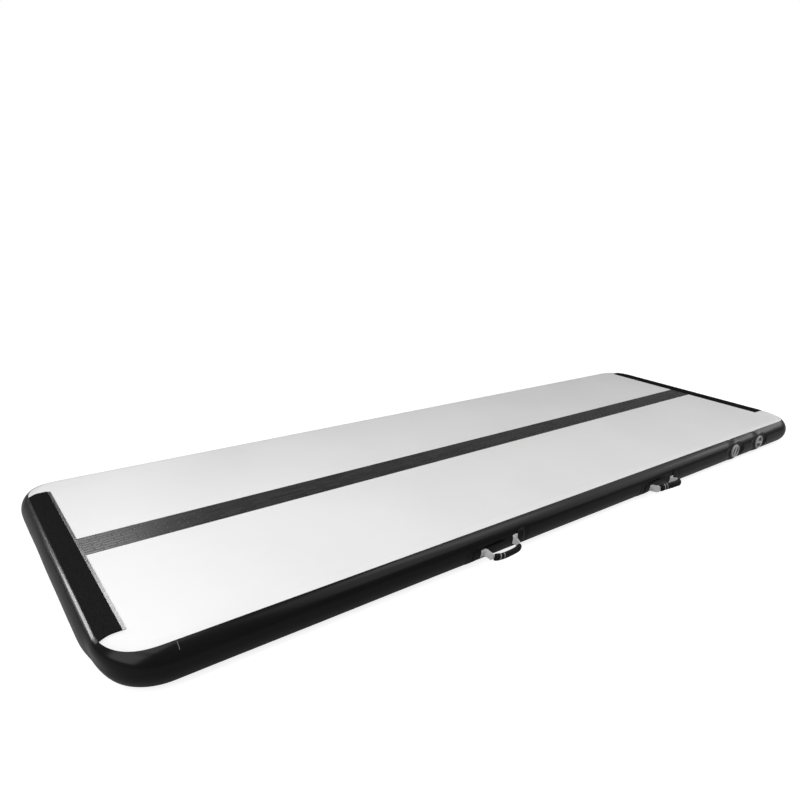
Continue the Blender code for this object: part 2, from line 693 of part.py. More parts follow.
def valve_cap():
    """The cap: a plug with a seal groove, and two recesses that leave a finger bar across the face."""
    low, top = PLUG_TOP, PLUG_TOP + CAP
    groove = SEAL_RADIUS - SEAL_WIRE / 2 - GAP
    groove_half = SEAL_WIRE / 2 + GAP
    groove_z = PLUG_TOP / 2
    round_edge = CAP / 4
    profile = [
        (0, top),
        (CAP_RADIUS - round_edge, top),
        (CAP_RADIUS, top - round_edge),
        (CAP_RADIUS, low),
        (PLUG_RADIUS, low),
        (PLUG_RADIUS, groove_z + groove_half),
        (groove, groove_z + groove_half),
        (groove, groove_z - groove_half),
        (PLUG_RADIUS, groove_z - groove_half),
        (PLUG_RADIUS, 0),
        (0, 0),
    ]
    cap = turned("cap", profile, CAP_PLASTIC, closed=False)
    radius = CAP_RADIUS - CAP_RIM
    half_turn = math.acos(CAP_BAR / 2 / radius)
    helpers = []
    for side in (-math.pi / 2, math.pi / 2):
        bm = bmesh.new()
        turns = [side + t for t in spaced(-half_turn, half_turn, 10)]
        edge = [bm.verts.new((radius * math.cos(t), radius * math.sin(t), top - CAP_RECESS)) for t in turns]
        grown = bmesh.ops.extrude_face_region(bm, geom=[bm.faces.new(edge)])["geom"]
        raised = [v for v in grown if isinstance(v, bmesh.types.BMVert)]
        bmesh.ops.translate(bm, vec=(0, 0, 2 * CAP_RECESS), verts=raised)
        bmesh.ops.recalc_face_normals(bm, faces=bm.faces)
        helpers.append(put("recess", mesh_from(bm, "recess"), CAP_PLASTIC, CUTTERS))
        boolean(cap, "DIFFERENCE", helpers[-1])
    return baked(cap, *helpers)


def cap_seal():
    """The rubber ring in the cap's groove."""
    turns = spaced(0, -2 * math.pi, 6)[:-1]
    wire = SEAL_WIRE / 2
    profile = [(SEAL_RADIUS + wire * math.cos(t), PLUG_TOP / 2 + wire * math.sin(t)) for t in turns]
    return baked(turned("seal", profile, RUBBER, steps=SMALL_TURN_STEPS))


def stem_spring():
    """The coil between the spider's hub and the push button."""
    top = BUTTON_TOP - BUTTON - SPRING_WIRE / 2 - GAP
    bottom = HUB_TOP + SPRING_WIRE / 2 + GAP
    per_turn = 8
    count = round(SPRING_TURNS * per_turn)
    points = []
    for k in range(count + 1):
        turn = 2 * math.pi * k / per_turn
        height = bottom + (top - bottom) * k / count
        points.append(Vector((SPRING_RADIUS * math.cos(turn), SPRING_RADIUS * math.sin(turn), height)))
    apart = range(per_turn // 2, count + 1)
    least = min((points[i] - points[j]).length for i in range(count + 1) for j in range(i) if i - j in apart)
    print(f"stem spring: least gap between turns {1000 * (least - SPRING_WIRE):.2f} mm")
    curve = bpy.data.curves.new("stem_spring", "CURVE")
    curve.dimensions = "3D"
    curve.bevel_depth = SPRING_WIRE / 2
    curve.bevel_resolution = 1
    curve.use_fill_caps = True
    spline = curve.splines.new("POLY")
    spline.points.add(count)
    for point, place in zip(spline.points, points):
        point.co = (*place, 1.0)
    return curve


def valves():
    """Two push valves in the front wall near the right end."""
    stem_bore, barrel = STEM_RADIUS + GAP, BARREL_RADIUS + GAP
    under_wall, under_seat = -WALL - GAP, -BARREL_DEPTH - GAP
    disc = ring("disc", DIAPHRAGM_RADIUS, stem_bore, under_seat, DIAPHRAGM, RUBBER, SMALL_TURN_STEPS)
    washer = ring("washer", NUT_RADIUS, barrel, under_wall, GASKET, RUBBER)
    nut = ring("nut", NUT_RADIUS, barrel, under_wall - GASKET - GAP, NUT, VALVE_PLASTIC)
    pieces = (
        ("body", valve_body(), VALVE_PLASTIC),
        ("stem", valve_stem(), VALVE_PLASTIC),
        ("diaphragm", baked(disc), RUBBER),
        ("spring", stem_spring(), SPRING_STEEL),
        ("gasket", baked(washer), RUBBER),
        ("nut", baked(nut), VALVE_PLASTIC),
        ("cap", valve_cap(), CAP_PLASTIC),
        ("cap_seal", cap_seal(), RUBBER),
    )
    for number, x in enumerate(VALVE_X, 1):
        axis = empty(f"valve_{number}_axis", (x, -VALVE_Y, VALVE_Z), (math.pi / 2, 0, 0))
        for name, data, finish in pieces:
            put(f"valve_{number}_{name}", data, finish, PARTS).parent = axis


for old in list(bpy.data.objects):
    bpy.data.objects.remove(old)

PARTS = collection("air_track_mat")
CUTTERS = collection("cutters")
LIGHT_PVC = material("light grey coated PVC", (0.80, 0.80, 0.80), 0.45)
BASE_PVC = material("black base PVC", (0.020, 0.020, 0.021), 0.60)
BLACK_PVC = material("black gloss PVC", (0.012, 0.012, 0.013), 0.35)
STRIPE_PVC = material("black embossed PVC", (0.022, 0.022, 0.023), 0.50)
PILE = material("black hook and loop", (0.010, 0.010, 0.010), 0.95)
CLOTH_YARN = material("polyester drop-stitch", (0.70, 0.70, 0.68), 0.85)
WEBBING = material("grey polyester webbing", (0.36, 0.36, 0.36), 0.80)
GRIP_RUBBER = material("black grip rubber", (0.012, 0.012, 0.012), 0.50)
VALVE_PLASTIC = material("grey valve plastic", (0.30, 0.30, 0.31), 0.45)
CAP_PLASTIC = material("grey cap plastic", (0.34, 0.34, 0.35), 0.40)
RUBBER = material("black seal rubber", (0.02, 0.02, 0.02), 0.70)
SPRING_STEEL = material("spring steel", (0.55, 0.55, 0.55), 0.30, 1.0)

skins()
side_walls()
seam_tapes()
core()
stripe()
end_strips()
handles()
valves()
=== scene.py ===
# %% [markdown]
# # An inflatable air track
# The object is a gymnastics mat that is pumped up hard: a light deck and a dark base held flat by thousands
# of threads, a half-round side wall, a stripe down the middle, hook-and-loop strips over both ends, webbing
# handles and two valves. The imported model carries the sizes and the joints. This lesson rebuilds each soft
# piece with a finer mesh in the same place, then gives every surface a finish made of shader nodes.

# %% Load the frame
from math import acos, asin, atan2, copysign, cos, exp, hypot, pi, radians, sin, sqrt

import bmesh
import bpy
from mathutils import Matrix, Vector, noise


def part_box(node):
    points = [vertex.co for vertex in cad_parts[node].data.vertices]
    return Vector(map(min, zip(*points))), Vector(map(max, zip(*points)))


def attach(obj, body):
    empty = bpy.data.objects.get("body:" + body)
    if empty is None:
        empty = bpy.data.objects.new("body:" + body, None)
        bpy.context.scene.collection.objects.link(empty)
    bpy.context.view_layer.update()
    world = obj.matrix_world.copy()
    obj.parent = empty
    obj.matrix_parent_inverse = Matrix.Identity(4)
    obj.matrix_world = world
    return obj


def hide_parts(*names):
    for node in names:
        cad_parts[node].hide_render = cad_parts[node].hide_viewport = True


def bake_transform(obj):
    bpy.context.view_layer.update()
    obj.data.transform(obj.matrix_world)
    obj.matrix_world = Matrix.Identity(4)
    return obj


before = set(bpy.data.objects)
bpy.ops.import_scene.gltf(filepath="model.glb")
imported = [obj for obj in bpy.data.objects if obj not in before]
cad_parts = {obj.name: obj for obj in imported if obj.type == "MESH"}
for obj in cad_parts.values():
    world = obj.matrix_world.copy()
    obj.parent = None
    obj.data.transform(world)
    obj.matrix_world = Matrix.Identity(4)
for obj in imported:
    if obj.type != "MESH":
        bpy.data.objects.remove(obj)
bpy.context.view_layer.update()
scene = bpy.context.scene

# %% [markdown]
# ## Sizes
# The frame gives the big sizes, so a piece made from them lands exactly where its solid is. What the boxes
# can't tell, such as a cloth's thickness or where the wall's edge lies on the rim, is written here once in
# metres.

# %% Sizes of the mat
MM = 0.001
GAP = 0.3 * MM  # between pieces that lie on each other
CLOTH = 1.0 * MM
WALL_EDGE, END_EDGE = 21.5 * MM, 31 * MM  # skin that shows round the rim, on the front and elsewhere
EDGE_TURN = radians(60)  # part of a front corner over which the edge comes down
SKIN_LAP = 12.5 * MM  # skin that goes on under the wall
CORNER_RADIUS = 140 * MM
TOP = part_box("deck_skin")[1].z
HALF_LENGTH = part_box("right_wall")[1].x
HALF_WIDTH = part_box("right_wall")[1].y
SEAM_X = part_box("valve_wall")[1].x + GAP
RIM = TOP / 2
LAP = GAP + CLOTH
EDGE_X = HALF_LENGTH - RIM - LAP
EDGE_Y = HALF_WIDTH - RIM - LAP
CORNER = CORNER_RADIUS - RIM - LAP
CORNER_X, CORNER_Y = EDGE_X - CORNER, EDGE_Y - CORNER
HALF_TURN = Matrix.Rotation(pi, 4, "Z")
print(f"mat {2 * HALF_LENGTH:.3f} x {2 * HALF_WIDTH:.3f} x {TOP:.3f} m, rim radius {RIM:.3f} m")

# %% [markdown]
# ## Colours and nodes
# Colours are picked as sRGB hex values, the way a colour card gives them, and the shader wants linear
# light, so one function converts. Another adds a node for one of its outputs: settings by name, and inputs
# as a value or as another node's socket.

# %% Colour and node helpers


def linear(code):
    """Linear RGBA of an sRGB hex colour."""
    parts = [int(code[i : i + 2], 16) / 255 for i in (1, 3, 5)]
    return (*(p / 12.92 if p <= 0.04045 else ((p + 0.055) / 1.055) ** 2.4 for p in parts), 1.0)


def feed(tree, node, inputs):
    """Sets a node's inputs; each is a plain value or the socket that feeds it."""
    for name, value in inputs.items():
        if isinstance(value, bpy.types.NodeSocket):
            tree.links.new(value, node.inputs[name])
        else:
            node.inputs[name].default_value = value


def add(tree, kind, output, inputs, **settings):
    """Adds one shader node with its settings and inputs, and returns the output that is wanted."""
    node = tree.nodes.new(f"ShaderNode{kind}")
    for name, value in settings.items():
        setattr(node, name, value)
    feed(tree, node, inputs)
    return node.outputs[output]


def start(name, roughness, ior, specular=0.5, **sockets):
    """A new Principled material; gives the material, its tree, its shader and the place on the object."""
    made = bpy.data.materials.new(name)
    made.use_nodes = True
    tree = made.node_tree
    shader = tree.nodes["Principled BSDF"]
    feed(tree, shader, {"Roughness": roughness, "IOR": ior, "Specular IOR Level": specular, **sockets})
    return made, tree, shader, add(tree, "TexCoord", "Object", {})


def dress(tree, shader, shades, stops, factor, relief, strength, depth, wander=0.0, invert=False):
    """Colours a shader from one shade to another by a texture, with relief and a wandering gloss."""
    shade = add(tree, "ValToRGB", "Color", {"Fac": factor})
    for stop, position, code in zip(shade.node.color_ramp.elements, stops, shades):
        stop.position, stop.color = position, linear(code)
    press = {"Height": relief, "Strength": strength, "Distance": depth}
    bump = add(tree, "Bump", "Normal", press, invert=invert)
    feed(tree, shader, {"Base Color": shade, "Normal": bump})
    if wander:
        middle = shader.inputs["Roughness"].default_value
        limits = {"To Min": middle - wander, "To Max": middle + wander}
        feed(tree, shader, {"Roughness": add(tree, "MapRange", "Result", {"Value": factor, **limits})})


def bands_scale(period):
    """Wave texture scale for stripes of this period in metres."""
    return pi / 10 / period


# %% [markdown]
# ## PVC-coated cloth
# Deck and wall are tarpaulin: polyester cloth with soft PVC rolled onto both faces. The roller leaves a
# satin skin with a faint linen emboss, and the pull of the drop threads leaves slow waves. A weave could be
# an image, but two crossed wave textures and a noise do it at any distance, with the threads drawn a few
# millimetres apart so that they show. The stripe and the end patches are film pressed with rows of short
# dashes, which a brick texture draws.

# %% PVC finishes
EMBOSS = 4.0 * MM
CLOUD = 350 * MM  # size of the slow changes of shade
SKIN_GLOSS, FILM_GLOSS = 0.05, 0.08  # how far the roughness wanders


def tarpaulin(name, shades, roughness, ior, height, **sockets):
    """PVC-coated cloth: a slow change of shade, uneven gloss and crossed threads that show through."""
    made, tree, shader, place = start(name, roughness, ior, **sockets)
    slow = {"Vector": place, "Scale": 1 / CLOUD, "Detail": 4.0}
    cloud = add(tree, "TexNoise", "Fac", slow)
    thread = {"Vector": place, "Scale": bands_scale(EMBOSS), "Distortion": 0.6, "Detail": 1.0}
    warp, weft = (add(tree, "TexWave", "Fac", thread, bands_direction=d) for d in "XY")
    weave = add(tree, "Math", "Value", {0: warp, 1: weft}, operation="MULTIPLY")
    dress(tree, shader, shades, (0.3, 0.7), cloud, weave, strength=0.35, depth=height, wander=SKIN_GLOSS)
    return made


def embossed(name, ground, dash_glint, roughness, ior, length, pitch, height):
    """PVC film pressed with rows of short dashes along the mat, with the dashes painted paler than the ground
    as a painted glint.
    """
    made, tree, shader, place = start(name, roughness, ior)
    # Color1 is the paler dash grey, a painted glint on the raised dashes; the film itself is one black
    shades = {"Color1": linear(dash_glint), "Color2": linear(ground), "Mortar": linear(ground)}
    rows = {"Vector": place, "Scale": 1.0, "Brick Width": length, "Row Height": pitch}
    joints = {"Mortar Size": pitch * 0.2, "Mortar Smooth": 0.5}
    dashes = add(tree, "TexBrick", "Color", {**shades, **rows, **joints}, offset=0.37)
    gaps = dashes.node.outputs["Fac"]
    wear = add(tree, "TexNoise", "Fac", {"Vector": place, "Scale": 0.5 / length, "Detail": 3.0})
    dull = add(tree, "Math", "Value", {0: gaps, 1: wear}, operation="ADD")
    limits = {"From Max": 1.6, "To Min": roughness - FILM_GLOSS, "To Max": roughness + FILM_GLOSS}
    gloss = add(tree, "MapRange", "Result", {"Value": dull, **limits})
    bump = add(tree, "Bump", "Normal", {"Height": gaps, "Strength": 0.5, "Distance": height}, invert=True)
    feed(tree, shader, {"Base Color": dashes, "Roughness": gloss, "Normal": bump})
    return made


LIGHT_PVC = tarpaulin(
    "light grey PVC tarpaulin", ("#E4E4E4", "#E9E9E9"), roughness=0.45, ior=1.45, height=0.10 * MM
)
BLACK_PVC = tarpaulin(
    "black gloss PVC tarpaulin", ("#0C0C0C", "#101010"),
    roughness=0.22, ior=1.45, height=0.03 * MM, specular=0.22,
)
ANCHOR_PVC = tarpaulin(
    "black matt PVC patch", ("#0B0B0B", "#0E0E0E"),
    roughness=0.30, ior=1.45, height=0.03 * MM, specular=0.16,
)
BASE_PVC = tarpaulin(
    "black non-slip PVC base", ("#1C1C1D", "#232323"), roughness=0.60, ior=1.40, height=0.30 * MM
)
PATCH_PVC = embossed(
    "black gloss PVC patch", "#101010", "#1C1C1C",
    roughness=0.18, ior=1.6, length=5 * MM, pitch=2.5 * MM, height=0.06 * MM,
)
STRIPE_PVC = embossed(
    "black embossed PVC film", "#171717", "#303030",
    roughness=0.29, ior=1.42, length=55 * MM, pitch=13 * MM, height=0.20 * MM,
)
print("PVC finishes made")

# %% [markdown]
# ## Hook and loop, webbing and cloth
# The end strips are nylon pile: a fuzz that swallows light, so the colour is near black and the surface has
# almost no gloss. The handles are flat polyester webbing, woven in fine ribs across its width, with a
# little sheen from its yarns. The core inside and the cut edges of the wall's joins are bare woven
# polyester.

# %% Textile finishes
TUFT_HEIGHT, RIB_HEIGHT = 0.6 * MM, 0.4 * MM


def pile(name, shades, tuft):
    """Hook-and-loop nylon: speckled tufts that swallow light."""
    made, tree, shader, place = start(name, 0.95, 1.45, specular=0.05)
    tufts = add(tree, "TexVoronoi", "Distance", {"Vector": place, "Scale": 1 / tuft, "Randomness": 1.0})
    dress(tree, shader, shades, (0.0, 1.0), tufts, tufts, strength=0.8, depth=TUFT_HEIGHT, invert=True)
    return made


def ribbed_webbing(name, shades, rib):
    """Flat woven webbing: ribs across its width, crossed by its long yarns."""
    made, tree, shader, place = start(name, 0.75, 1.5, **{"Sheen Weight": 0.2})
    wave = {"Vector": place, "Scale": bands_scale(rib), "Distortion": 1.0, "Detail": 2.0}
    ribs = add(tree, "TexWave", "Fac", wave, bands_direction="Z")
    yarns = add(tree, "TexNoise", "Fac", {"Vector": place, "Scale": 0.5 / rib, "Detail": 3.0})
    both = add(tree, "Math", "Value", {0: ribs, 1: yarns}, operation="MULTIPLY")
    dress(tree, shader, shades, (0.0, 0.6), both, both, strength=0.6, depth=RIB_HEIGHT)
    return made


LOOP_PILE = pile("black nylon loop pile", ("#222222", "#0C0C0C"), tuft=2.5 * MM)
HOOK_PILE = pile("black nylon hook tape", ("#1C1C1C", "#0A0A0A"), tuft=2.0 * MM)
WEBBING = ribbed_webbing("grey polyester webbing", ("#B8B8B8", "#E6E6E6"), rib=3.0 * MM)
BARE_CLOTH = ribbed_webbing("cut edge of polyester cloth", ("#505050", "#6C6C6C"), rib=2.0 * MM)
CORE_CLOTH = ribbed_webbing("undyed polyester cloth", ("#C9C7C0", "#E2E0DA"), rib=4.0 * MM)
print("textile finishes made")

# %% [markdown]
# ## Rubber, moulded plastic and wire
# The grips are foam rubber and the seals nitrile, both with a fine pore. The valves are moulded
# polypropylene, a waxy plastic whose mould is lightly spark-eroded, and more so in the cap's recess, whose
# floor is also painted darker as painted shade. The stem spring is drawn steel wire. All of them are one
# grain at different sizes, so one function serves.

# %% Rubber, plastic and wire finishes
GRAIN_GLOSS = 0.08


def moulded(name, shades, roughness, ior, grain, height, **sockets):
    """A moulded surface: fine grain in its height, shade and gloss."""
    made, tree, shader, place = start(name, roughness, ior, **sockets)
    noisy = {"Vector": place, "Scale": 1 / grain, "Detail": 5.0, "Roughness": 0.6}
    grit = add(tree, "TexNoise", "Fac", noisy)
    dress(tree, shader, shades, (0.35, 0.65), grit, grit, strength=0.4, depth=height, wander=GRAIN_GLOSS)
    return made


FOAM = {"roughness": 0.5, "ior": 1.45, "grain": 1.5 * MM, "height": 0.15 * MM}
MOULD = {"ior": 1.49, "grain": 1.0 * MM}
GRIP_RUBBER = moulded("black foam rubber", ("#0A0A0A", "#131313"), **FOAM, specular=0.2)
RING_INK = moulded("grey ink on foam rubber", ("#7C7C7C", "#929292"), **FOAM)
SEAL_RUBBER = moulded(
    "black nitrile rubber", ("#161616", "#1D1D1D"), roughness=0.60, ior=1.50, grain=1.0 * MM, height=0.05 * MM
)
VALVE_PLASTIC = moulded(
    "grey moulded polypropylene", ("#8C8C8D", "#989898"), roughness=0.42, height=0.04 * MM, **MOULD
)
CAP_PLASTIC = moulded(
    "light grey moulded polypropylene", ("#B0B0B1", "#BEBEBE"), roughness=0.38, height=0.04 * MM, **MOULD
)
# the recess floor's darker grey is painted shade; only its rougher grain is the spark erosion
RECESS_SHADE_PLASTIC = moulded(
    "grey spark-eroded polypropylene, darkened as painted shade", ("#4A4A4A", "#5A5A5A"), roughness=0.6, height=0.1 * MM, **MOULD
)
SPRING_STEEL = moulded(
    "drawn spring steel", ("#B5B5B5", "#C6C6C6"),
    roughness=0.30, ior=1.45, grain=0.5 * MM, height=0.02 * MM, Metallic=1.0,
)
print("moulded finishes made")

# %% [markdown]
# ## Making sheets
# Nearly every piece of this mat is a sheet that follows the rim, so one function joins rows of points into
# quads and another makes the object: it gets its thickness from Solidify, its finish, the body it rides on
# and the CAD nodes it stands for. A sheet's points lie on its underside, and the thickness grows outwards.
# Its cut edges are marked sharp, because smooth shading would bend the light round them.

# %% Sheet and piece helpers


def smooth_mesh(bm, name):
    """The mesh of a finished bmesh, shaded smooth."""
    mesh = bpy.data.meshes.new(name)
    bm.to_mesh(mesh)
    bm.free()
    mesh.shade_smooth()
    return mesh


def sheet_mesh(name, rows, closed=False, keep=None, marked=None):
    """A smooth mesh through rows of points; keep drops quads, and marked ones get the second finish."""
    bm = bmesh.new()
    verts = [[bm.verts.new(point) for point in row] for row in rows]
    pairs = list(zip(verts, verts[1:]))
    if closed:
        pairs.append((verts[-1], verts[0]))
    for left, right in pairs:
        for k in range(len(left) - 1):
            corners = (left[k], left[k + 1], right[k + 1], right[k])
            places = [v.co for v in corners]
            if keep is None or keep(places):
                face = bm.faces.new(corners)
                face.material_index = 1 if marked and marked(places) else 0
    if closed:
        bm.faces.new([row[0] for row in verts])
    loose = [v for v in bm.verts if not v.link_faces]
    bmesh.ops.delete(bm, geom=loose, context="VERTS")
    bm.edges.index_update()
    border = [edge.index for edge in bm.edges if edge.is_boundary]
    mesh = smooth_mesh(bm, name)
    for i in border:
        mesh.edges[i].use_edge_sharp = True
    return mesh


def piece(name, mesh, finish, nodes, body="mat", thickness=0.0, offset=1.0):
    """One shown piece: finish, thickness, the body it rides on and the CAD nodes that it stands for."""
    made = bpy.data.objects.new(name, mesh)
    scene.collection.objects.link(made)
    mesh.materials.append(finish)
    if thickness:
        solid = made.modifiers.new("thickness", "SOLIDIFY")
        solid.thickness = thickness
        solid.offset = offset
        solid.use_even_offset = True
    if body:
        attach(made, body)
    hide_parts(*nodes)
    return made


def cut_sheet(made, width, length):
    """Prints a piece's size as cloth cut flat to this size, and its number of faces."""
    print(f"{made.name}: cut {1000 * width:.0f} x {1000 * length:.0f} mm, {len(made.data.polygons)} faces")


def spaced(first, last, steps):
    """Evenly spaced values from first to last."""
    return [first + (last - first) * i / steps for i in range(steps + 1)]


def ease(value, start, end):
    """0 before start, 1 after end, smooth between."""
    share = min(max((value - start) / (end - start), 0.0), 1.0)
    return share * share * (3 - 2 * share)


# %% [markdown]
# ## Deck and base
# Each skin is cut with round corners, lies flat, and wraps a little way round the rim before it goes under
# the side wall. The rim's centre line is a rounded rectangle, so a list of stations round it, each with its
# outward direction, is enough: a point of the rim is a station plus a turn about it. No inflated mat is
# quite true: at the left end the back corner stands out a little, and under the front one the wall is drawn
# in.

# %% Skins
CORNER_STEPS, END_STEPS, SKIN_STEPS = 24, 60, 12
PUSHED = 15 * MM
DRAWN, DRAWN_PLACE, DRAWN_WIDTH = 11 * MM, 14 * MM, 50 * MM
DRAWN_FROM, DRAWN_FULL = radians(45), radians(95)  # turns about the rim


def arc(centre_x, centre_y, start_turn):
    """Stations round one corner: place on the rim's centre line, then outward direction."""
    turns = [radians(t) for t in spaced(start_turn, start_turn + 90, CORNER_STEPS)]
    return [(centre_x + CORNER * cos(t), centre_y + CORNER * sin(t), cos(t), sin(t)) for t in turns]


def corner_shift(station, angle):
    """How far the left end leaves its true outline: out at the back corner, in under the front one."""
    x, y, out_x, out_y = station
    if x > 0:
        return 0.0
    if y > 0:
        return PUSHED * (2 * out_x * out_y) ** 2
    if -x < CORNER_X:
        run = CORNER * pi / 2 + CORNER_X + x
    elif -y < CORNER_Y:
        run = -y - CORNER_Y
    else:
        run = CORNER * atan2(abs(out_y), abs(out_x))
    drawn = DRAWN * exp(-(((run - DRAWN_PLACE) / DRAWN_WIDTH) ** 2))
    return -drawn * ease(angle, DRAWN_FROM, DRAWN_FULL)


def rim_point(station, angle, radius):
    """A point of the rim, angle being 0 on top and a quarter turn at the widest line."""
    x, y, out_x, out_y = station
    reach = radius * sin(angle) + corner_shift(station, angle)
    return Vector((x + out_x * reach, y + out_y * reach, RIM + radius * cos(angle)))


def edge_angle(station):
    """Where the wall's edge lies round the rim: high on the front, lower down at the ends and the back."""
    share = ease(abs(station[2]), 0.0, sin(EDGE_TURN)) if station[3] < 0 else 1.0
    return (WALL_EDGE + (END_EDGE - WALL_EDGE) * share) / RIM


def skin_row(station, top):
    """Points of a skin from where the rim starts, on top or underneath, to its end under the wall."""
    last = edge_angle(station) + SKIN_LAP / RIM
    return [rim_point(station, a if top else pi - a, RIM - CLOTH) for a in spaced(0, last, SKIN_STEPS)]


straight_end = [(EDGE_X, y, 1, 0) for y in spaced(-CORNER_Y, CORNER_Y, END_STEPS)[1:-1]]
right_end = arc(CORNER_X, -CORNER_Y, -90) + straight_end + arc(CORNER_X, CORNER_Y, 0)
left_end = [tuple(-v for v in station) for station in right_end]
outline = right_end + left_end
deck_mesh = sheet_mesh("deck", [skin_row(s, True) for s in outline], closed=True)
base_mesh = sheet_mesh("base", [skin_row(s, False) for s in outline], closed=True)
base_mesh.flip_normals()
deck = piece("deck", deck_mesh, LIGHT_PVC, ["deck_skin"], thickness=CLOTH)
base = piece("base", base_mesh, BASE_PVC, ["base_skin"], thickness=CLOTH)
skin_width = 2 * (EDGE_Y + SKIN_LAP) + WALL_EDGE + END_EDGE
for skin in (deck, base):
    cut_sheet(skin, skin_width, 2 * (EDGE_X + SKIN_LAP + END_EDGE))

# %% [markdown]
# ## Side wall
# The wall is one black strip in four lengths, bowed out by the air. A hard valve flange can't bow, so the
# wall is drawn flat under each valve and climbs back to its half-round shape over a short shoulder with
# small puckers. That is a rule for moving points: the nearer a point is to a valve, the more it goes to the
# flat plane. A slow ripple keeps the reflections from being ruler straight, and two joins show a pale line
# of cut cloth.

# %% Side wall
VALVE_X = [sum(corner.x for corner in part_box(f"valve_{k}_body")) / 2 for k in (1, 2)]
VALVE_Z = sum(corner.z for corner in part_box("valve_1_body")) / 2
VALVE_Y = HALF_WIDTH - 6.0 * MM
VALVE_HOLE = 23.0 * MM
PRESS_FLAT, PRESS_END, PRESS_SPREAD = 30 * MM, 43 * MM, 0.6
PUCKER, PUCKER_TURN, PUCKER_WIDTH = 1.8 * MM, radians(112), 0.22
PUCKER_START, PUCKER_END = 0.8 * PRESS_FLAT, 1.5 * PRESS_END
WALL_STEPS, WALL_COLUMNS, PRESS_COLUMNS = 32, 90, 44
RIPPLE, RIPPLE_GROWS = 0.8 * MM, 0.5  # height, and the turn from a glued edge in which it is reached
RIPPLES = Vector((7, 7, 16))  # per metre
JOIN_WIDTH = 1.6 * MM
MID_JOIN_X = -0.329
JOINS = {-SEAM_X: (84 * MM, 94 * MM), MID_JOIN_X: (48 * MM, 60 * MM)}  # heights between which it is pale


def wall_row(station):
    """Points round the wall from edge to edge, a little uneven where it isn't glued down."""
    edge = edge_angle(station)
    row = []
    for angle in spaced(edge, pi - edge, WALL_STEPS):
        free = ease(angle, edge, edge + RIPPLE_GROWS) * ease(pi - angle, edge, edge + RIPPLE_GROWS)
        swell = RIPPLE * free * noise.noise(rim_point(station, angle, RIM + GAP) * RIPPLES)
        row.append(rim_point(station, angle, RIM + GAP + swell))
    return row


def pressed(point):
    """Draws a front wall point onto the flat seat of a valve near it, with a fold pulled up over the seat."""
    for x in VALVE_X:
        across, up = point.x - x, point.z - VALVE_Z
        away = hypot(across * PRESS_SPREAD, up)
        pull = 1 - ease(away, PRESS_FLAT, PRESS_END)
        fold = ease(away, PUCKER_START, PRESS_END) * (1 - ease(away, PRESS_END, PUCKER_END))
        turn = atan2(up, across) - PUCKER_TURN
        pucker = PUCKER * fold * exp(-((turn / PUCKER_WIDTH) ** 2))
        point = Vector((point.x, point.y + (CLOTH - VALVE_Y - point.y) * pull - pucker, point.z))
    return point


def clear_of_valves(corners):
    """True for a quad that no valve barrel goes through."""
    return all(hypot(c.x - x, c.z - VALVE_Z) > VALVE_HOLE for c in corners for x in VALVE_X)


def bare_edge(corners):
    """True for a quad of the narrow line where a join's cut edge shows its pale cloth."""
    middle = sum(corners, Vector()) / len(corners)
    return any(0 < middle.x - x < JOIN_WIDTH and low < middle.z < high for x, (low, high) in JOINS.items())


reach = PUCKER_END / PRESS_SPREAD
front_x = set(spaced(-SEAM_X, SEAM_X, WALL_COLUMNS))
for x in VALVE_X:
    front_x = {v for v in front_x if abs(v - x) > reach} | set(spaced(x - reach, x + reach, PRESS_COLUMNS))
front_x |= {x + w for x in JOINS for w in (0.0, JOIN_WIDTH)}
front_rows = [[pressed(p) for p in wall_row((x, -EDGE_Y, 0, -1))] for x in sorted(front_x)]
back_rows = [wall_row((x, EDGE_Y, 0, 1)) for x in spaced(SEAM_X, -SEAM_X, WALL_COLUMNS)]
end_path = [(SEAM_X, -EDGE_Y, 0, -1), *right_end, (SEAM_X, EDGE_Y, 0, 1)]
end_rows = [wall_row(s) for s in end_path]
left_mesh = sheet_mesh("left_wall", [wall_row(tuple(-v for v in s)) for s in end_path])
front_mesh = sheet_mesh("front_wall", front_rows, keep=clear_of_valves, marked=bare_edge)
end_length = 2 * (CORNER_Y + CORNER_X - SEAM_X + CORNER_RADIUS * pi / 2)
for name, mesh, nodes, length in (
    ("front", front_mesh, ["front_wall", "valve_wall"], 2 * SEAM_X),
    ("back", sheet_mesh("back_wall", back_rows), ["back_wall"], 2 * SEAM_X),
    ("left", left_mesh, ["left_wall"], end_length),
    ("right", sheet_mesh("right_wall", end_rows), ["right_wall"], end_length),
):
    made = piece(f"side_wall_{name}", mesh, BLACK_PVC, nodes, thickness=CLOTH)
    edge = WALL_EDGE if name == "front" else END_EDGE
    cut_sheet(made, pi * RIM - 2 * edge, length)
front_mesh.materials.append(BARE_CLOTH)

# %% [markdown]
# ## Inside the mat
# Nothing inside shows, yet it is what makes the mat: two woven cloths with threads between them, and tapes
# behind the wall's seams. A real mat has tens of thousands of threads. A few hundred thin posts tell the
# same story.

# %% Core and seam tapes
THREAD, THREAD_PITCH = 1.2 * MM, 60 * MM
TAPE_STEPS = 16
CORE_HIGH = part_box("drop_stitch_core")[1].z
core = bmesh.new()
for low in (TOP - CORE_HIGH, CORE_HIGH - CLOTH):
    ring = [core.verts.new((s[0], s[1], low)) for s in outline]
    grown = bmesh.ops.extrude_face_region(core, geom=[core.faces.new(ring)])["geom"]
    raised = [v for v in grown if isinstance(v, bmesh.types.BMVert)]
    bmesh.ops.translate(core, vec=(0, 0, CLOTH), verts=raised)
post = Matrix.Diagonal((THREAD, THREAD, 2 * CORE_HIGH - TOP - CLOTH, 1))
for x in spaced(-CORNER_X, CORNER_X, round(2 * CORNER_X / THREAD_PITCH)):
    for y in spaced(-CORNER_Y, CORNER_Y, round(2 * CORNER_Y / THREAD_PITCH)):
        bmesh.ops.create_cube(core, size=1.0, matrix=Matrix.Translation((x, y, RIM)) @ post)
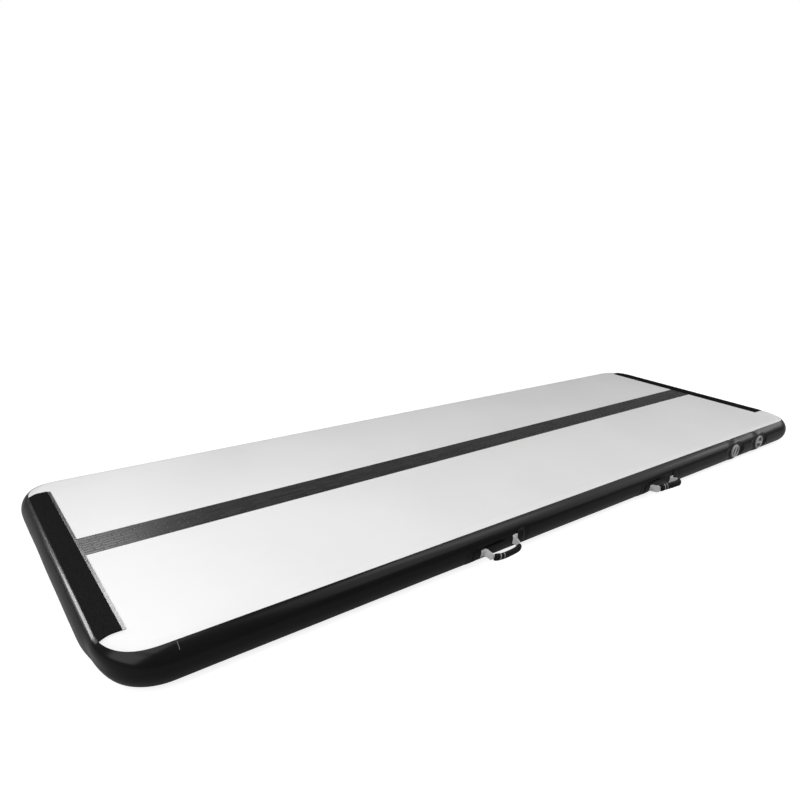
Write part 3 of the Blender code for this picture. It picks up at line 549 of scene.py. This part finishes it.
bmesh.ops.recalc_face_normals(core, faces=core.faces)
core_mesh = bpy.data.meshes.new("core")
core.to_mesh(core_mesh)
core.free()
piece("drop_stitch", core_mesh, CORE_CLOTH, ["drop_stitch_core"])
for tape_name in ("front_left", "front_right", "valve", "back_left", "back_right"):
    node = f"{tape_name}_seam_tape"
    out = 1 if tape_name.startswith("back") else -1
    first, last = sorted(corner.x * -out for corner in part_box(node))
    stations = [(x * -out, out * EDGE_Y, 0, out) for x in (first, last)]
    under = edge_angle(stations[0]) + (SKIN_LAP + CLOTH) / RIM
    angles = spaced(under, pi - under, TAPE_STEPS)
    rows = [[rim_point(s, a, RIM - CLOTH) for a in angles] for s in stations]
    tape = piece(f"inner_{node}", sheet_mesh(node, rows), BLACK_PVC, [node], thickness=CLOTH)
    cut_sheet(tape, last - first, (pi - 2 * under) * RIM)
print("core and tapes made")

# %% [markdown]
# ## Stripe, end patches and hook-and-loop strips
# The stripe is a PVC film glued on the deck by hand, so it lies a little off the middle and drifts along
# the mat. Each end has a backing patch glued over the rim, partly on the deck and partly on the wall, so it
# steps up where the wall's edge begins, and a pile strip sewn on the patch. The strip's nap is uneven, so a
# noise moves its points.

# %% Stripe and end strips
low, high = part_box("centre_stripe")
STRIPE_COLUMNS, STRIPE_STEPS = 120, 6
STRIPE_ASIDE, STRIPE_TURN = 16 * MM, 0.0064
across_stripe = [y + STRIPE_ASIDE for y in spaced(high.y, low.y, STRIPE_STEPS)]
stripe_rows = [
    [Vector((x, y + STRIPE_TURN * x, low.z)) for y in across_stripe]
    for x in spaced(high.x, low.x, STRIPE_COLUMNS)
]
stripe_size = high - low
stripe_mesh = sheet_mesh("stripe", stripe_rows)
stripe = piece("stripe", stripe_mesh, STRIPE_PVC, ["centre_stripe"], thickness=stripe_size.z)
cut_sheet(stripe, stripe_size.y, stripe_size.x)
PATCH, STRIP = 0.8 * MM, 1.8 * MM
PATCH_INNER, PATCH_OUTER = 28 * MM, 37 * MM
STRIP_INNER, STRIP_OUTER = 20 * MM, 29 * MM
STEP_UP, STEP_DONE = END_EDGE - 6 * MM, END_EDGE - 1 * MM  # where a patch climbs onto the wall
PATCH_COLUMNS, PILE_COLUMNS, FLAT_STEPS, OVER_STEPS = 60, 200, 6, 16
RIGHT_INWARDS = 28 * MM
NAP, NAP_SCALE = 0.35 * MM, 420


def end_point(side, y, angle, lift):
    """A point over an end's rim, drawn as the right end, raised where the wall's edge lies under it."""
    raised = RIM + lift + LAP * ease(angle * RIM, STEP_UP, STEP_DONE)
    arm = CORNER + raised * sin(angle)
    turn = asin(max(abs(y) - CORNER_Y, 0.0) / arm)
    shift = corner_shift((side * EDGE_X, side * y, cos(turn), sin(turn)), angle)
    x = CORNER_X + arm * cos(turn) + shift / cos(turn)
    return Vector((x, y, RIM + raised * cos(angle)))


def end_sheet(side, ends, inner, outer, lift, columns):
    """Rows over an end, drawn as the right end: straight on the deck, then round the rim."""
    rows = []
    for y in spaced(*ends, columns):
        on_deck = end_point(side, y, 0.0, lift)
        first = Vector((EDGE_X - inner, y, on_deck.z))
        flat = [first.lerp(on_deck, k / FLAT_STEPS) for k in range(FLAT_STEPS)]
        rows.append(flat + [end_point(side, y, a, lift) for a in spaced(0.0, outer / RIM, OVER_STEPS)])
    return rows


def napped(rows):
    """Rows with the small unevenness of a pile, none along the edges."""
    return [
        [p + Vector((0, 0, NAP * noise.noise(p * NAP_SCALE))) for p in row] if 0 < i < len(rows) - 1 else row
        for i, row in enumerate(rows)
    ]


for end, side, word, finish, inwards in (
    ("right", 1, "hook", HOOK_PILE, RIGHT_INWARDS),
    ("left", -1, "loop", LOOP_PILE, 0.0),
):
    ends = sorted(side * corner.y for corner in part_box(f"{end}_{word}_strip"))
    patch = end_sheet(side, ends, PATCH_INNER + inwards, PATCH_OUTER - inwards, GAP, PATCH_COLUMNS)
    nap = end_sheet(side, ends, STRIP_INNER + inwards, STRIP_OUTER - inwards, PATCH + 2 * GAP, PILE_COLUMNS)
    for node, name, rows, shade, slot, thickness, width in (
        ("patch", "end_patch", patch, PATCH_PVC, "black_pvc", PATCH, PATCH_INNER + PATCH_OUTER),
        (f"{word}_strip", f"{word}_pile", napped(nap), finish, "pile", STRIP, STRIP_INNER + STRIP_OUTER),
    ):
        mesh = sheet_mesh(name, rows)
        if side < 0:
            mesh.transform(HALF_TURN)
        made = piece(f"{name}_{end}", mesh, shade, [f"{end}_{node}"], thickness=thickness)
        cut_sheet(made, width, ends[1] - ends[0])
print("stripe and end strips made")

# %% [markdown]
# ## Handles
# A handle is one length of webbing: it lies flat on the wall under its anchor patches, folds out, and runs
# through a soft grip. The fold is where it bends when the grip is lifted. The strip is made as one mesh from
# end to end. The path is drawn flat, as distance along the mat and distance out from the wall, and then
# wrapped onto the wall near it and drooped away from it.

# %% Webbing path
WEB = 2.0 * MM
WEB_WIDTH = 25 * MM
LEG_SPAN = 108 * MM
LEG_STRAIGHT = 9 * MM
HANDLE_REACH = 39 * MM
HANDLE_Z = 43.5 * MM
HANDLE_SQUARENESS = 2.85
PIVOT = WEB_WIDTH / 2 + 0.8 * MM
LOOP_OUT = HANDLE_REACH - PIVOT
FOLD = 3.0 * MM
TAB_SHOWN, TAB_HIDDEN = 18 * MM, 22 * MM
GRIP_START, GRIP_END = 0.49, 0.69
GRIP_WEB = 14 * MM
WALL_RADIUS = RIM + LAP
LEAVE_FROM, LEAVE_DONE = 2 * MM, 9 * MM  # distance from the wall over which the webbing stops following it
DROOP_DONE = PIVOT + 10 * MM
TAB_STEPS, FOLD_STEPS, LEG_STEPS, LOOP_STEPS = 10, 6, 5, 60


class Handle:
    """One handle, drawn on the front and turned round for the back: droop, tilt and how its loop leans."""

    def __init__(self, x, back, droop, tilt, lean, skew, sag):
        self.x, self.lean, self.skew, self.sag = -x if back else x, lean, skew, sag
        self.turn = HALF_TURN if back else Matrix()
        self.wall = "side_wall_back" if back else "side_wall_front"
        self.droop, self.tilt = radians(droop), radians(tilt)
        self.hinge = Vector((self.x, -HALF_WIDTH - PIVOT, HANDLE_Z))
        self.tip = Matrix.Rotation(-self.tilt, 3, "Y")

    def on_wall(self, along, down, lift):
        """A point on the wall, down being the distance along the curve from handle height."""
        fall = down * cos(self.tilt) - along * sin(self.tilt)
        angle = acos((HANDLE_Z - RIM) / WALL_RADIUS) + fall / WALL_RADIUS
        x = self.x + along * cos(self.tilt) + down * sin(self.tilt)
        return rim_point((x, -EDGE_Y, 0, -1), angle, WALL_RADIUS + lift)

    def point(self, along, out, down):
        """A point from the flat path: wrapped on the wall when near it, drooped when away."""
        down += self.sag * (1 - ease(out, 0.0, HANDLE_REACH))
        near = self.tip.transposed() @ (self.on_wall(along, down, out) - self.hinge)
        flat = Vector((along, PIVOT - out, -down))
        swing = Matrix.Rotation(self.droop * ease(out, LEAVE_FROM, DROOP_DONE), 3, "X")
        return self.hinge + self.tip @ swing @ near.lerp(flat, ease(out, LEAVE_FROM, LEAVE_DONE))

    def loop(self, turn):
        """The middle of the grip's loop: distance along the mat and out from the wall."""
        power = 2 / HANDLE_SQUARENESS
        side = LEG_SPAN / 2 * copysign(abs(cos(turn)) ** power, -cos(turn))
        out = LOOP_OUT * sin(turn) ** power
        away = ease(out, LEG_STRAIGHT, LOOP_OUT)
        return Vector((side + self.lean * away, PIVOT + out + self.skew * side * away))

    def path(self):
        """(along, out, half width) from one hidden end of the webbing to the other."""
        low = GAP + WEB / 2
        fold_x = LEG_SPAN / 2 + FOLD
        full = WEB_WIDTH / 2
        tab_end = LEG_SPAN / 2 + TAB_SHOWN + TAB_HIDDEN
        leg = [(along, low, full) for along in spaced(tab_end, fold_x, TAB_STEPS)]
        for turn in spaced(0, pi / 2, FOLD_STEPS)[1:]:
            leg.append((fold_x - FOLD * sin(turn), low + FOLD * (1 - cos(turn)), full))
        leg += [(LEG_SPAN / 2, out, full) for out in spaced(low + FOLD, PIVOT, LEG_STEPS)[1:-1]]
        loop = []
        for turn in spaced(0, pi, LOOP_STEPS):
            into = ease(turn, GRIP_START / 2, GRIP_START) * ease(pi - turn, GRIP_END / 2, GRIP_END)
            loop.append((*self.loop(turn), (WEB_WIDTH + (GRIP_WEB - WEB_WIDTH) * into) / 2))
        return [(-along, out, half) for along, out, half in leg] + loop + leg[::-1]


NEAR_X, FAR_X = -0.439, 0.386
HANGING = {"droop": 14.0, "tilt": 4.5, "lean": 5 * MM, "skew": 0.02, "sag": 0.0}
RAISED = {"droop": -7.0, "tilt": 3.0, "lean": 12 * MM, "skew": 0.16, "sag": 5 * MM}
handles = {
    1: Handle(NEAR_X, False, **HANGING),
    2: Handle(FAR_X, False, **RAISED),
    3: Handle(NEAR_X, True, **HANGING),
    4: Handle(FAR_X, True, **RAISED),
}
print("webbing path of", len(handles[1].path()), "stations")

# %% [markdown]
# ## Webbing strips
# Each path becomes one strip. The back handles are drawn on the front and turned round with the mat's half
# turn. Close to the wall the strip follows the mat, further out the handle, and between the two its points
# share both.

# %% Webbing
WEB_COLUMNS = 8
for k, handle in handles.items():
    rows = [
        [handle.point(along, out, half * s) for s in spaced(-1, 1, WEB_COLUMNS)]
        for along, out, half in handle.path()
    ]
    mesh = sheet_mesh(f"webbing_{k}", rows)
    mesh.transform(handle.turn)
    nodes = [f"handle_{k}_strap", f"handle_{k}_tab_a", f"handle_{k}_tab_b"]
    strip = piece(f"webbing_{k}", mesh, WEBBING, nodes, body=None, thickness=WEB, offset=0.0)
    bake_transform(strip)
    middle = [row[WEB_COLUMNS // 2] for row in rows]
    length = sum((b - a).length for a, b in zip(middle, middle[1:]))
    cut_sheet(strip, WEB_WIDTH, length)

# %% [markdown]
# ## Grips
# The grip is a foam sleeve pushed over the folded webbing, oval in section, with a few raised rings near
# each end that stop a hand sliding and two pale bands. It is lofted: an oval at each station of the loop,
# whose size swells for the rings and closes in at the mouths, and a slot inside for the webbing.

# %% Grips
GRIP_HEIGHT, GRIP_DEPTH = 23 * MM, 14 * MM
GRIP_STATIONS = 64
GRIP_SIDES = 28
RING_HEIGHT, RING_PITCH, RING_COUNT = 0.7 * MM, 4.0 * MM, 3
PALE_RINGS, PALE_HALF = (17 * MM, 28 * MM), 1.6 * MM
MOUTH, MOUTH_SIZE = 2.0 * MM, 0.78  # length that rounds off, and size at its end
OVAL_POWER, SLOT_POWER = 1.0, 0.3  # 1 is an ellipse, less is squarer
NEARBY = 0.01  # turn ahead and behind that gives the loop's direction


def grip_swell(from_end):
    """Size of the oval, against its full size, at this distance from the nearer mouth."""
    round_off = sqrt(max(0.0, 1 - (1 - min(from_end / MOUTH, 1)) ** 2))
    rings = sin(pi * from_end / RING_PITCH) ** 2 * ease(from_end, MOUTH, RING_PITCH)
    if from_end >= RING_PITCH * (RING_COUNT + 1):
        rings = 0.0
    return MOUTH_SIZE + (1 - MOUTH_SIZE) * round_off + 2 * RING_HEIGHT / GRIP_DEPTH * rings


def band(bm, a, b):
    """Quads between two closed rings with as many points each; gives the faces."""
    return [bm.faces.new((a[i - 1], a[i], b[i], b[i - 1])) for i in range(len(a))]


def grip_mesh(name, handle):
    """An oval sleeve round the loop with a slot for the webbing, closed at both mouths."""
    turns = spaced(GRIP_START, pi - GRIP_END, GRIP_STATIONS)
    sides = [2 * pi * i / GRIP_SIDES for i in range(GRIP_SIDES)]
    middles = [handle.loop(t) for t in turns]
    runs = [0.0]
    for a, b in zip(middles, middles[1:]):
        runs.append(runs[-1] + (b - a).length)
    bm = bmesh.new()
    outer, slot = [], []
    for t, middle, run in zip(turns, middles, runs):
        ahead = (handle.loop(t + NEARBY) - handle.loop(t - NEARBY)).normalized()
        across = Vector((-ahead.y, ahead.x))
        swell = grip_swell(min(run, runs[-1] - run))
        for ring, depth, height, power in (
            (outer, swell * GRIP_DEPTH / 2, swell * GRIP_HEIGHT / 2, OVAL_POWER),
            (slot, WEB / 2 + 2 * GAP, GRIP_WEB / 2 + 3 * GAP, SLOT_POWER),
        ):
            ring.append([])
            for s in sides:
                c, d = cos(s), sin(s)
                flat = middle + across * depth * copysign(abs(c) ** power, c)
                down = -height * copysign(abs(d) ** power, d)
                ring[-1].append(bm.verts.new(handle.point(flat.x, flat.y, down)))
    for rings in (outer, slot):
        for a, b, run in zip(rings, rings[1:], runs):
            pale = rings is outer and any(abs(run - place) < PALE_HALF for place in PALE_RINGS)
            for face in band(bm, a, b):
                face.material_index = int(pale)
    band(bm, outer[0], slot[0])
    band(bm, outer[-1], slot[-1])
    bmesh.ops.recalc_face_normals(bm, faces=bm.faces)
    return smooth_mesh(bm, name)


for k, handle in handles.items():
    mesh = grip_mesh(f"grip_{k}", handle)
    mesh.transform(handle.turn)
    made = piece(f"grip_{k}", mesh, GRIP_RUBBER, [f"handle_{k}_grip"], body=f"handle_{k}")
    mesh.materials.append(RING_INK)
    print(made.name, len(mesh.polygons), "faces")

# %% [markdown]
# ## Anchor patches
# A black patch with round corners is welded over each webbing end. It lies on the wall and climbs over the
# webbing, so its height is a rule again: lifted over the strip, eased down at its sides and at the hidden
# end.

# %% Anchor patches
ANCHOR = 0.6 * MM
ANCHOR_LENGTH, ANCHOR_HEIGHT = 52 * MM, 58 * MM
ANCHOR_ROUND = 20 * MM
ANCHOR_SLOPE = 9 * MM
FIRST_TURN = 0.08  # a corner starts with a short edge, not a point
CORNER_RUNS, MIDDLE_RUNS, ANCHOR_COLUMNS = 8, 12, 32


def anchor_rows(handle, outward):
    """Rows of a patch from the edge that the webbing comes out of to its far edge."""
    first = LEG_SPAN / 2 + WEB / 2 + GAP + TAB_SHOWN
    cover = TAB_HIDDEN + 3 * GAP
    plateau = WEB_WIDTH / 2 + 3 * GAP
    rounds = [ANCHOR_ROUND * (1 - cos(t)) for t in spaced(FIRST_TURN, pi / 2, CORNER_RUNS)]
    runs = rounds + spaced(rounds[-1], ANCHOR_LENGTH - rounds[-1], MIDDLE_RUNS)[1:-1]
    runs += [ANCHOR_LENGTH - r for r in reversed(rounds)]
    rows = []
    for run in runs:
        inset = max(ANCHOR_ROUND - min(run, ANCHOR_LENGTH - run), 0.0)
        half = ANCHOR_HEIGHT / 2 - ANCHOR_ROUND + sqrt(ANCHOR_ROUND**2 - inset**2)
        over = 1 - ease(run, cover, cover + ANCHOR_SLOPE)
        row = []
        for down in spaced(-half, half, ANCHOR_COLUMNS):
            climb = over * (1 - ease(abs(down), plateau, plateau + ANCHOR_SLOPE))
            lift = GAP + (WEB + GAP) * climb
            row.append(handle.on_wall(outward * (first + run), down + handle.sag, lift))
        rows.append(row)
    return rows if outward > 0 else rows[::-1]


for k, handle in handles.items():
    for tag, outward in (("a", -1), ("b", 1)):
        mesh = sheet_mesh("anchor", anchor_rows(handle, outward))
        mesh.transform(handle.turn)
        node = f"handle_{k}_anchor_{tag}"
        made = piece(f"anchor_{k}_{tag}", mesh, ANCHOR_PVC, [node], thickness=ANCHOR)
        cut_sheet(made, ANCHOR_LENGTH, ANCHOR_HEIGHT)
print("anchor patches made")

# %% [markdown]
# ## Valves
# The valve body and its cap are turned shapes, so their profiles are spun round the axis. The edges get
# small roundings, because a moulded edge always catches a line of light.

# %% Turned shapes
TURN_STEPS = 72
SHARP_TURN = radians(40)
ROUND_STEPS, ROUND_SHARE = 4, 0.45  # points of an edge's rounding, and how much of a side it may take


def rounded(profile, radius):
    """The profile with each inner corner cut by a small arc."""
    out = [profile[0]]
    for before, corner, after in zip(profile, profile[1:], profile[2:]):
        a, c, b = Vector(before), Vector(corner), Vector(after)
        reach = min(radius, (a - c).length * ROUND_SHARE, (b - c).length * ROUND_SHARE)
        first, last = c + (a - c).normalized() * reach, c + (b - c).normalized() * reach
        for t in spaced(0, 1, ROUND_STEPS):
            out.append(tuple(first * (1 - t) ** 2 + c * 2 * t * (1 - t) + last * t**2))
    return out + [profile[-1]]


def spin(bm, profile):
    """Spins an open profile from axis to axis, or a closed ring profile, into a solid."""
    verts = [bm.verts.new((r, 0, z)) for r, z in profile]
    edges = [bm.edges.new(pair) for pair in zip(verts, verts[1:])]
    bmesh.ops.spin(bm, geom=verts + edges, axis=(0, 0, 1), cent=(0, 0, 0), angle=2 * pi, steps=TURN_STEPS)
    bmesh.ops.remove_doubles(bm, verts=bm.verts, dist=1e-6)


def valve_mesh(bm, name, number, turn=0.0):
    """The finished mesh of a valve piece, turned to face out of the front wall."""
    bmesh.ops.recalc_face_normals(bm, faces=bm.faces)
    mesh = smooth_mesh(bm, name)
    place = Matrix.Translation((VALVE_X[number - 1], -VALVE_Y, VALVE_Z))
    mesh.transform(place @ Matrix.Rotation(pi / 2, 4, "X") @ Matrix.Rotation(turn, 4, "Z"))
    mesh.set_sharp_from_angle(angle=SHARP_TURN)
    return mesh


# %% [markdown]
# ## Valve bodies and caps
# The body is a flange on a barrel with a seat at its inner end and a guide for the stem. The cap is a
# shallow cup with a bar across it for two fingers. The small inner pieces keep their CAD shape and only
# take a finish.

# %% Valve bodies and caps
FLANGE_RADIUS, FLANGE = 28.5 * MM, 2.4 * MM
BARREL_RADIUS, BORE_RADIUS, BARREL_DEPTH = 21 * MM, 17 * MM, 26 * MM
SEAT_RADIUS, SEAT = 13 * MM, 2 * MM
HUB_RADIUS, HUB_BORE, HUB_TOP, HUB = 6 * MM, 3.3 * MM, -15 * MM, 5 * MM
SPOKE, SPOKES, SPOKE_SINK = 3 * MM, 3, 1 * MM
CAP_RADIUS, CAP, CAP_RIM, CAP_RECESS, CAP_BAR = 26 * MM, 4 * MM, 4 * MM, 3.2 * MM, 11 * MM
CAP_TAPER, BAR_SINK, BAR_ROUND, BAR_SEGMENTS = 0.4 * MM, 0.2 * MM, 1.2 * MM, 4
BODY_ROUND, CAP_ROUND = 0.8 * MM, 0.7 * MM
PLUG_RADIUS, GROOVE_RADIUS, GROOVE_HALF = 16.2 * MM, 14.75 * MM, 1.15 * MM
CAP_LOW = FLANGE + 2 * GAP
SEAL_MIDDLE = -VALVE_Y - sum(corner.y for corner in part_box("valve_1_cap_seal")) / 2
CAP_TURN = {1: radians(78), 2: radians(-12)}


def body_mesh(number):
    """Flange, barrel and seat in one turned ring, with the stem's guide on three spokes."""
    top = GAP + FLANGE
    low, seat = -BARREL_DEPTH, SEAT - BARREL_DEPTH
    flange = [(BORE_RADIUS, top), (FLANGE_RADIUS, top), (FLANGE_RADIUS, GAP)]
    barrel = [(BARREL_RADIUS, GAP), (BARREL_RADIUS, low), (SEAT_RADIUS, low), (SEAT_RADIUS, seat)]
    bm = bmesh.new()
    spin(bm, rounded([*flange, *barrel, (BORE_RADIUS, seat), flange[0]], BODY_ROUND))
    hub_low = HUB_TOP - HUB
    hub = [(HUB_BORE, HUB_TOP), (HUB_RADIUS, HUB_TOP), (HUB_RADIUS, hub_low), (HUB_BORE, hub_low)]
    spin(bm, [*hub, hub[0]])
    length = BORE_RADIUS - HUB_RADIUS + 2 * SPOKE_SINK
    for turn in range(SPOKES):
        place = Matrix.Rotation(2 * pi * turn / SPOKES, 4, "Z")
        place @= Matrix.Translation(((BORE_RADIUS + HUB_RADIUS) / 2, 0, HUB_TOP - HUB / 2))
        bmesh.ops.create_cube(bm, size=1.0, matrix=place @ Matrix.Diagonal((length, SPOKE, HUB / 2, 1)))
    return valve_mesh(bm, "valve_body", number)


def cap_mesh(number):
    """A shallow cup with a finger bar across it, on a plug with a groove for the seal."""
    top, floor = CAP_LOW + CAP, CAP_LOW + CAP - CAP_RECESS
    high, low = SEAL_MIDDLE + GROOVE_HALF, SEAL_MIDDLE - GROOVE_HALF
    inner = CAP_RADIUS - CAP_RIM
    cup = [(0, floor), (inner, floor), (inner + CAP_TAPER, top), (CAP_RADIUS, top), (CAP_RADIUS, CAP_LOW)]
    groove = [(PLUG_RADIUS, high), (GROOVE_RADIUS, high), (GROOVE_RADIUS, low), (PLUG_RADIUS, low)]
    bm = bmesh.new()
    spin(bm, rounded([*cup, (PLUG_RADIUS, CAP_LOW), *groove, (PLUG_RADIUS, 0), (0, 0)], CAP_ROUND))
    size = (2 * (CAP_RADIUS - CAP_RIM / 2), CAP_BAR, CAP_RECESS)
    place = Matrix.Translation((0, 0, floor + CAP_RECESS / 2 - BAR_SINK))
    made = bmesh.ops.create_cube(bm, size=1.0, matrix=place @ Matrix.Diagonal((*size, 1)))
    edges = {e for v in made["verts"] for e in v.link_edges}
    long_edges = {e for e in edges if abs(e.verts[0].co.x - e.verts[1].co.x) > CAP}
    upper = [e for e in long_edges if e.verts[0].co.z > floor + CAP_RECESS / 2]
    bmesh.ops.bevel(bm, geom=upper, offset=BAR_ROUND, segments=BAR_SEGMENTS, affect="EDGES")
    # the recess floor takes the second, darker finish: painted shade in the recess
    for face in bm.faces:
        if abs(face.calc_center_median().z - floor) < GAP:
            face.material_index = 1
    return valve_mesh(bm, "valve_cap", number, CAP_TURN[number])


for k in (1, 2):
    piece(f"valve_housing_{k}", body_mesh(k), VALVE_PLASTIC, [f"valve_{k}_body"])
    node = f"valve_{k}_cap"
    cap = piece(f"valve_cover_{k}", cap_mesh(k), CAP_PLASTIC, [node], body=node)
    # second finish: the recess floor, darkened as painted shade
    cap.data.materials.append(RECESS_SHADE_PLASTIC)
    for part in ("stem", "nut", "diaphragm", "gasket", "cap_seal"):
        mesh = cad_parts[f"valve_{k}_{part}"].data
        mesh.materials.clear()
        mesh.materials.append(VALVE_PLASTIC if part in ("stem", "nut") else SEAL_RUBBER)
        mesh.shade_smooth()
        mesh.set_sharp_from_angle(angle=SHARP_TURN)
    print(f"valve {k} at x {VALVE_X[k - 1]:.3f} m")

# %% [markdown]
# ## Stem springs
# Behind each cap a coil spring holds the stem shut, and it has to shorten when the stem is pushed. The
# wire is swept along a helix that fills the spring's box, closed at both ends.

# %% Stem springs
WIRE = 0.45 * MM
WIRE_SIDES, COIL_TURNS, COIL_STEPS = 8, 4, 24
WIRE_SHARP = radians(60)


def spring_mesh(name, axis, low, high):
    """A round wire along a helix that fills the spring's box, closed at both ends."""
    radius = (high.x - low.x) / 2 - WIRE
    ahead = Vector((0, 1, 0))
    sides = [2 * pi * i / WIRE_SIDES for i in range(WIRE_SIDES)]
    bm = bmesh.new()
    rings = []
    for i, y in enumerate(spaced(low.y + WIRE, high.y - WIRE, COIL_TURNS * COIL_STEPS)):
        turn = 2 * pi * i / COIL_STEPS
        out = Vector((cos(turn), 0, sin(turn)))
        middle = axis + radius * out + y * ahead
        rings.append([bm.verts.new(middle + WIRE * (cos(s) * out + sin(s) * ahead)) for s in sides])
    for a, b in zip(rings, rings[1:]):
        band(bm, a, b)
    for ring in (rings[0], rings[-1]):
        bm.faces.new(ring)
    bmesh.ops.recalc_face_normals(bm, faces=bm.faces)
    mesh = smooth_mesh(bm, name)
    mesh.set_sharp_from_angle(angle=WIRE_SHARP)
    return mesh


for k in (1, 2):
    low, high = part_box(f"valve_{k}_spring")
    name = f"stem_spring_{k}"
    axis = Vector((VALVE_X[k - 1], 0, VALVE_Z))
    mesh = spring_mesh(name, axis, low, high)
    made = piece(name, mesh, SPRING_STEEL, [f"valve_{k}_spring"], body=None)
    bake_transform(made)
    print(f"{name}: {COIL_TURNS} turns of {2000 * WIRE:.1f} mm wire, {1000 * (high.y - low.y):.1f} mm long")

# %% [markdown]
# ## Floor and world
# The mat was shot in a white studio, so the floor is pale and the room is an even white. The floor gives
# the camera a little extra white, more of it further off, which keeps the shadow near the mat but lifts the
# rest to the background.

# %% Floor and world
FLOOR_HALF = 40.0
ROOM_LEVEL = 0.22
floor_mesh = bpy.data.meshes.new("floor")
corners = ((-1, -1), (1, -1), (1, 1), (-1, 1))
floor_mesh.from_pydata([(FLOOR_HALF * x, FLOOR_HALF * y, -GAP) for x, y in corners], [], [(0, 1, 2, 3)])
floor = bpy.data.objects.new("floor", floor_mesh)
scene.collection.objects.link(floor)
paper, tree, shader, place = start("white studio paper", 0.9, 1.45)
seen = add(tree, "LightPath", "Is Camera Ray", {})
distance = add(tree, "VectorMath", "Value", {0: place}, operation="LENGTH")
rise = {"From Min": 2.0, "From Max": 6.0, "To Min": 0.83, "To Max": 1.0}
whiter = add(tree, "MapRange", "Result", {"Value": distance, **rise})
lift = add(tree, "Math", "Value", {0: seen, 1: whiter}, operation="MULTIPLY")
glow = {"Emission Color": linear("#FFFFFF"), "Emission Strength": lift}
feed(tree, shader, {"Base Color": linear("#A8A8A8"), **glow})
floor_mesh.materials.append(paper)

world = bpy.data.worlds.new("white studio")
scene.world = world
world.use_nodes = True
sky = world.node_tree
rays = add(sky, "LightPath", "Is Camera Ray", {})
level = add(sky, "MapRange", "Result", {"Value": rays, "To Min": ROOM_LEVEL, "To Max": 1.0})
feed(sky, sky.nodes["Background"], {"Color": linear("#FFFFFF"), "Strength": level})
print("floor and world set")

# %% [markdown]
# ## Lamps
# Soft lamps at the left end make the deck brightest there, and it falls off to grey at the far end. Gloss
# PVC is nearly a mirror, so each lamp is also placed for its reflection: the bank over the front draws the
# bright band along the wall, the panels at the right light its far end, and the window behind the left end
# glints on the end patch.

# %% Lamps


def softbox(name, at, to, size, power):
    """A soft lamp aimed at a point, not seen by the camera itself."""
    lamp = bpy.data.lights.new(name, "AREA")
    lamp.shape = "RECTANGLE"
    lamp.size, lamp.size_y = size
    lamp.energy = power
    made = bpy.data.objects.new(name, lamp)
    made.location = at
    made.rotation_euler = (Vector(to) - Vector(at)).to_track_quat("-Z", "Y").to_euler()
    made.visible_camera = False
    scene.collection.objects.link(made)
    print(f"{name}: {power} W, {size[0]} x {size[1]} m")


softbox("window over the left end", at=(-0.5, 5.0, 3.95), to=(-1.435, -0.2, 0.1), size=(0.9, 1.3), power=48)
softbox("low panel at the far left", at=(-2.87, 1.9, 0.78), to=(-1.45, -0.2, 0.1), size=(0.6, 0.6), power=9)
softbox("panel on the left", at=(-3.2, -1.0, 1.7), to=(-1.3, -0.4, 0.1), size=(2.2, 2.2), power=42)
softbox("lamp over the near end", at=(-1.5, -0.5, 1.6), to=(-1.2, -0.3, 0.0), size=(1.0, 1.0), power=8)
softbox("lamp over the middle", at=(-0.45, -0.1, 1.8), to=(-0.45, -0.3, 0.1), size=(0.6, 0.6), power=3)
softbox("bank over the front", at=(1.95, -1.5, 2.3), to=(1.4, -0.3, 0.1), size=(4.0, 2.6), power=39)
softbox("panel over the near handle", at=(1.1, -1.3, 2.2), to=(-0.6, -0.5, 0.1), size=(0.7, 1.5), power=7)
softbox("low panel at the right", at=(3.5, -2.4, 1.3), to=(0.8, -0.5, 0.05), size=(2.2, 1.0), power=7)
softbox("panel at the right", at=(4.8, -1.1, 1.62), to=(1.2, -0.4, 0.1), size=(2.0, 0.8), power=12)

# %% [markdown]
# ## Camera
# The photograph's lines fix the camera: parallel edges of the mat meet at vanishing points, and with the
# mat's real size that gives the place, the turn and the lens. The lens is written as its focal length in
# pixels of the frame.

# %% Camera
FRAME_SIZE = 800
FOCAL_PIXELS = 652.96
CAMERA_PLACE = Vector((-1.700, -1.6159, 0.9737))
YAW, PITCH, ROLL = 0.6662, 0.2992, 0.0481
aim = Matrix.Rotation(-YAW, 4, "Z") @ Matrix.Rotation(pi / 2 - PITCH, 4, "X") @ Matrix.Rotation(ROLL, 4, "Z")
camera = bpy.data.objects.new("camera", bpy.data.cameras.new("camera"))
camera.matrix_world = Matrix.Translation(CAMERA_PLACE) @ aim
camera.data.sensor_width = 36.0
camera.data.lens = FOCAL_PIXELS / FRAME_SIZE * camera.data.sensor_width
scene.collection.objects.link(camera)
scene.camera = camera
scene.view_settings.view_transform = "Standard"
print(f"lens {camera.data.lens:.2f} mm at", [round(v, 3) for v in CAMERA_PLACE])

bpy.context.view_layer.update()
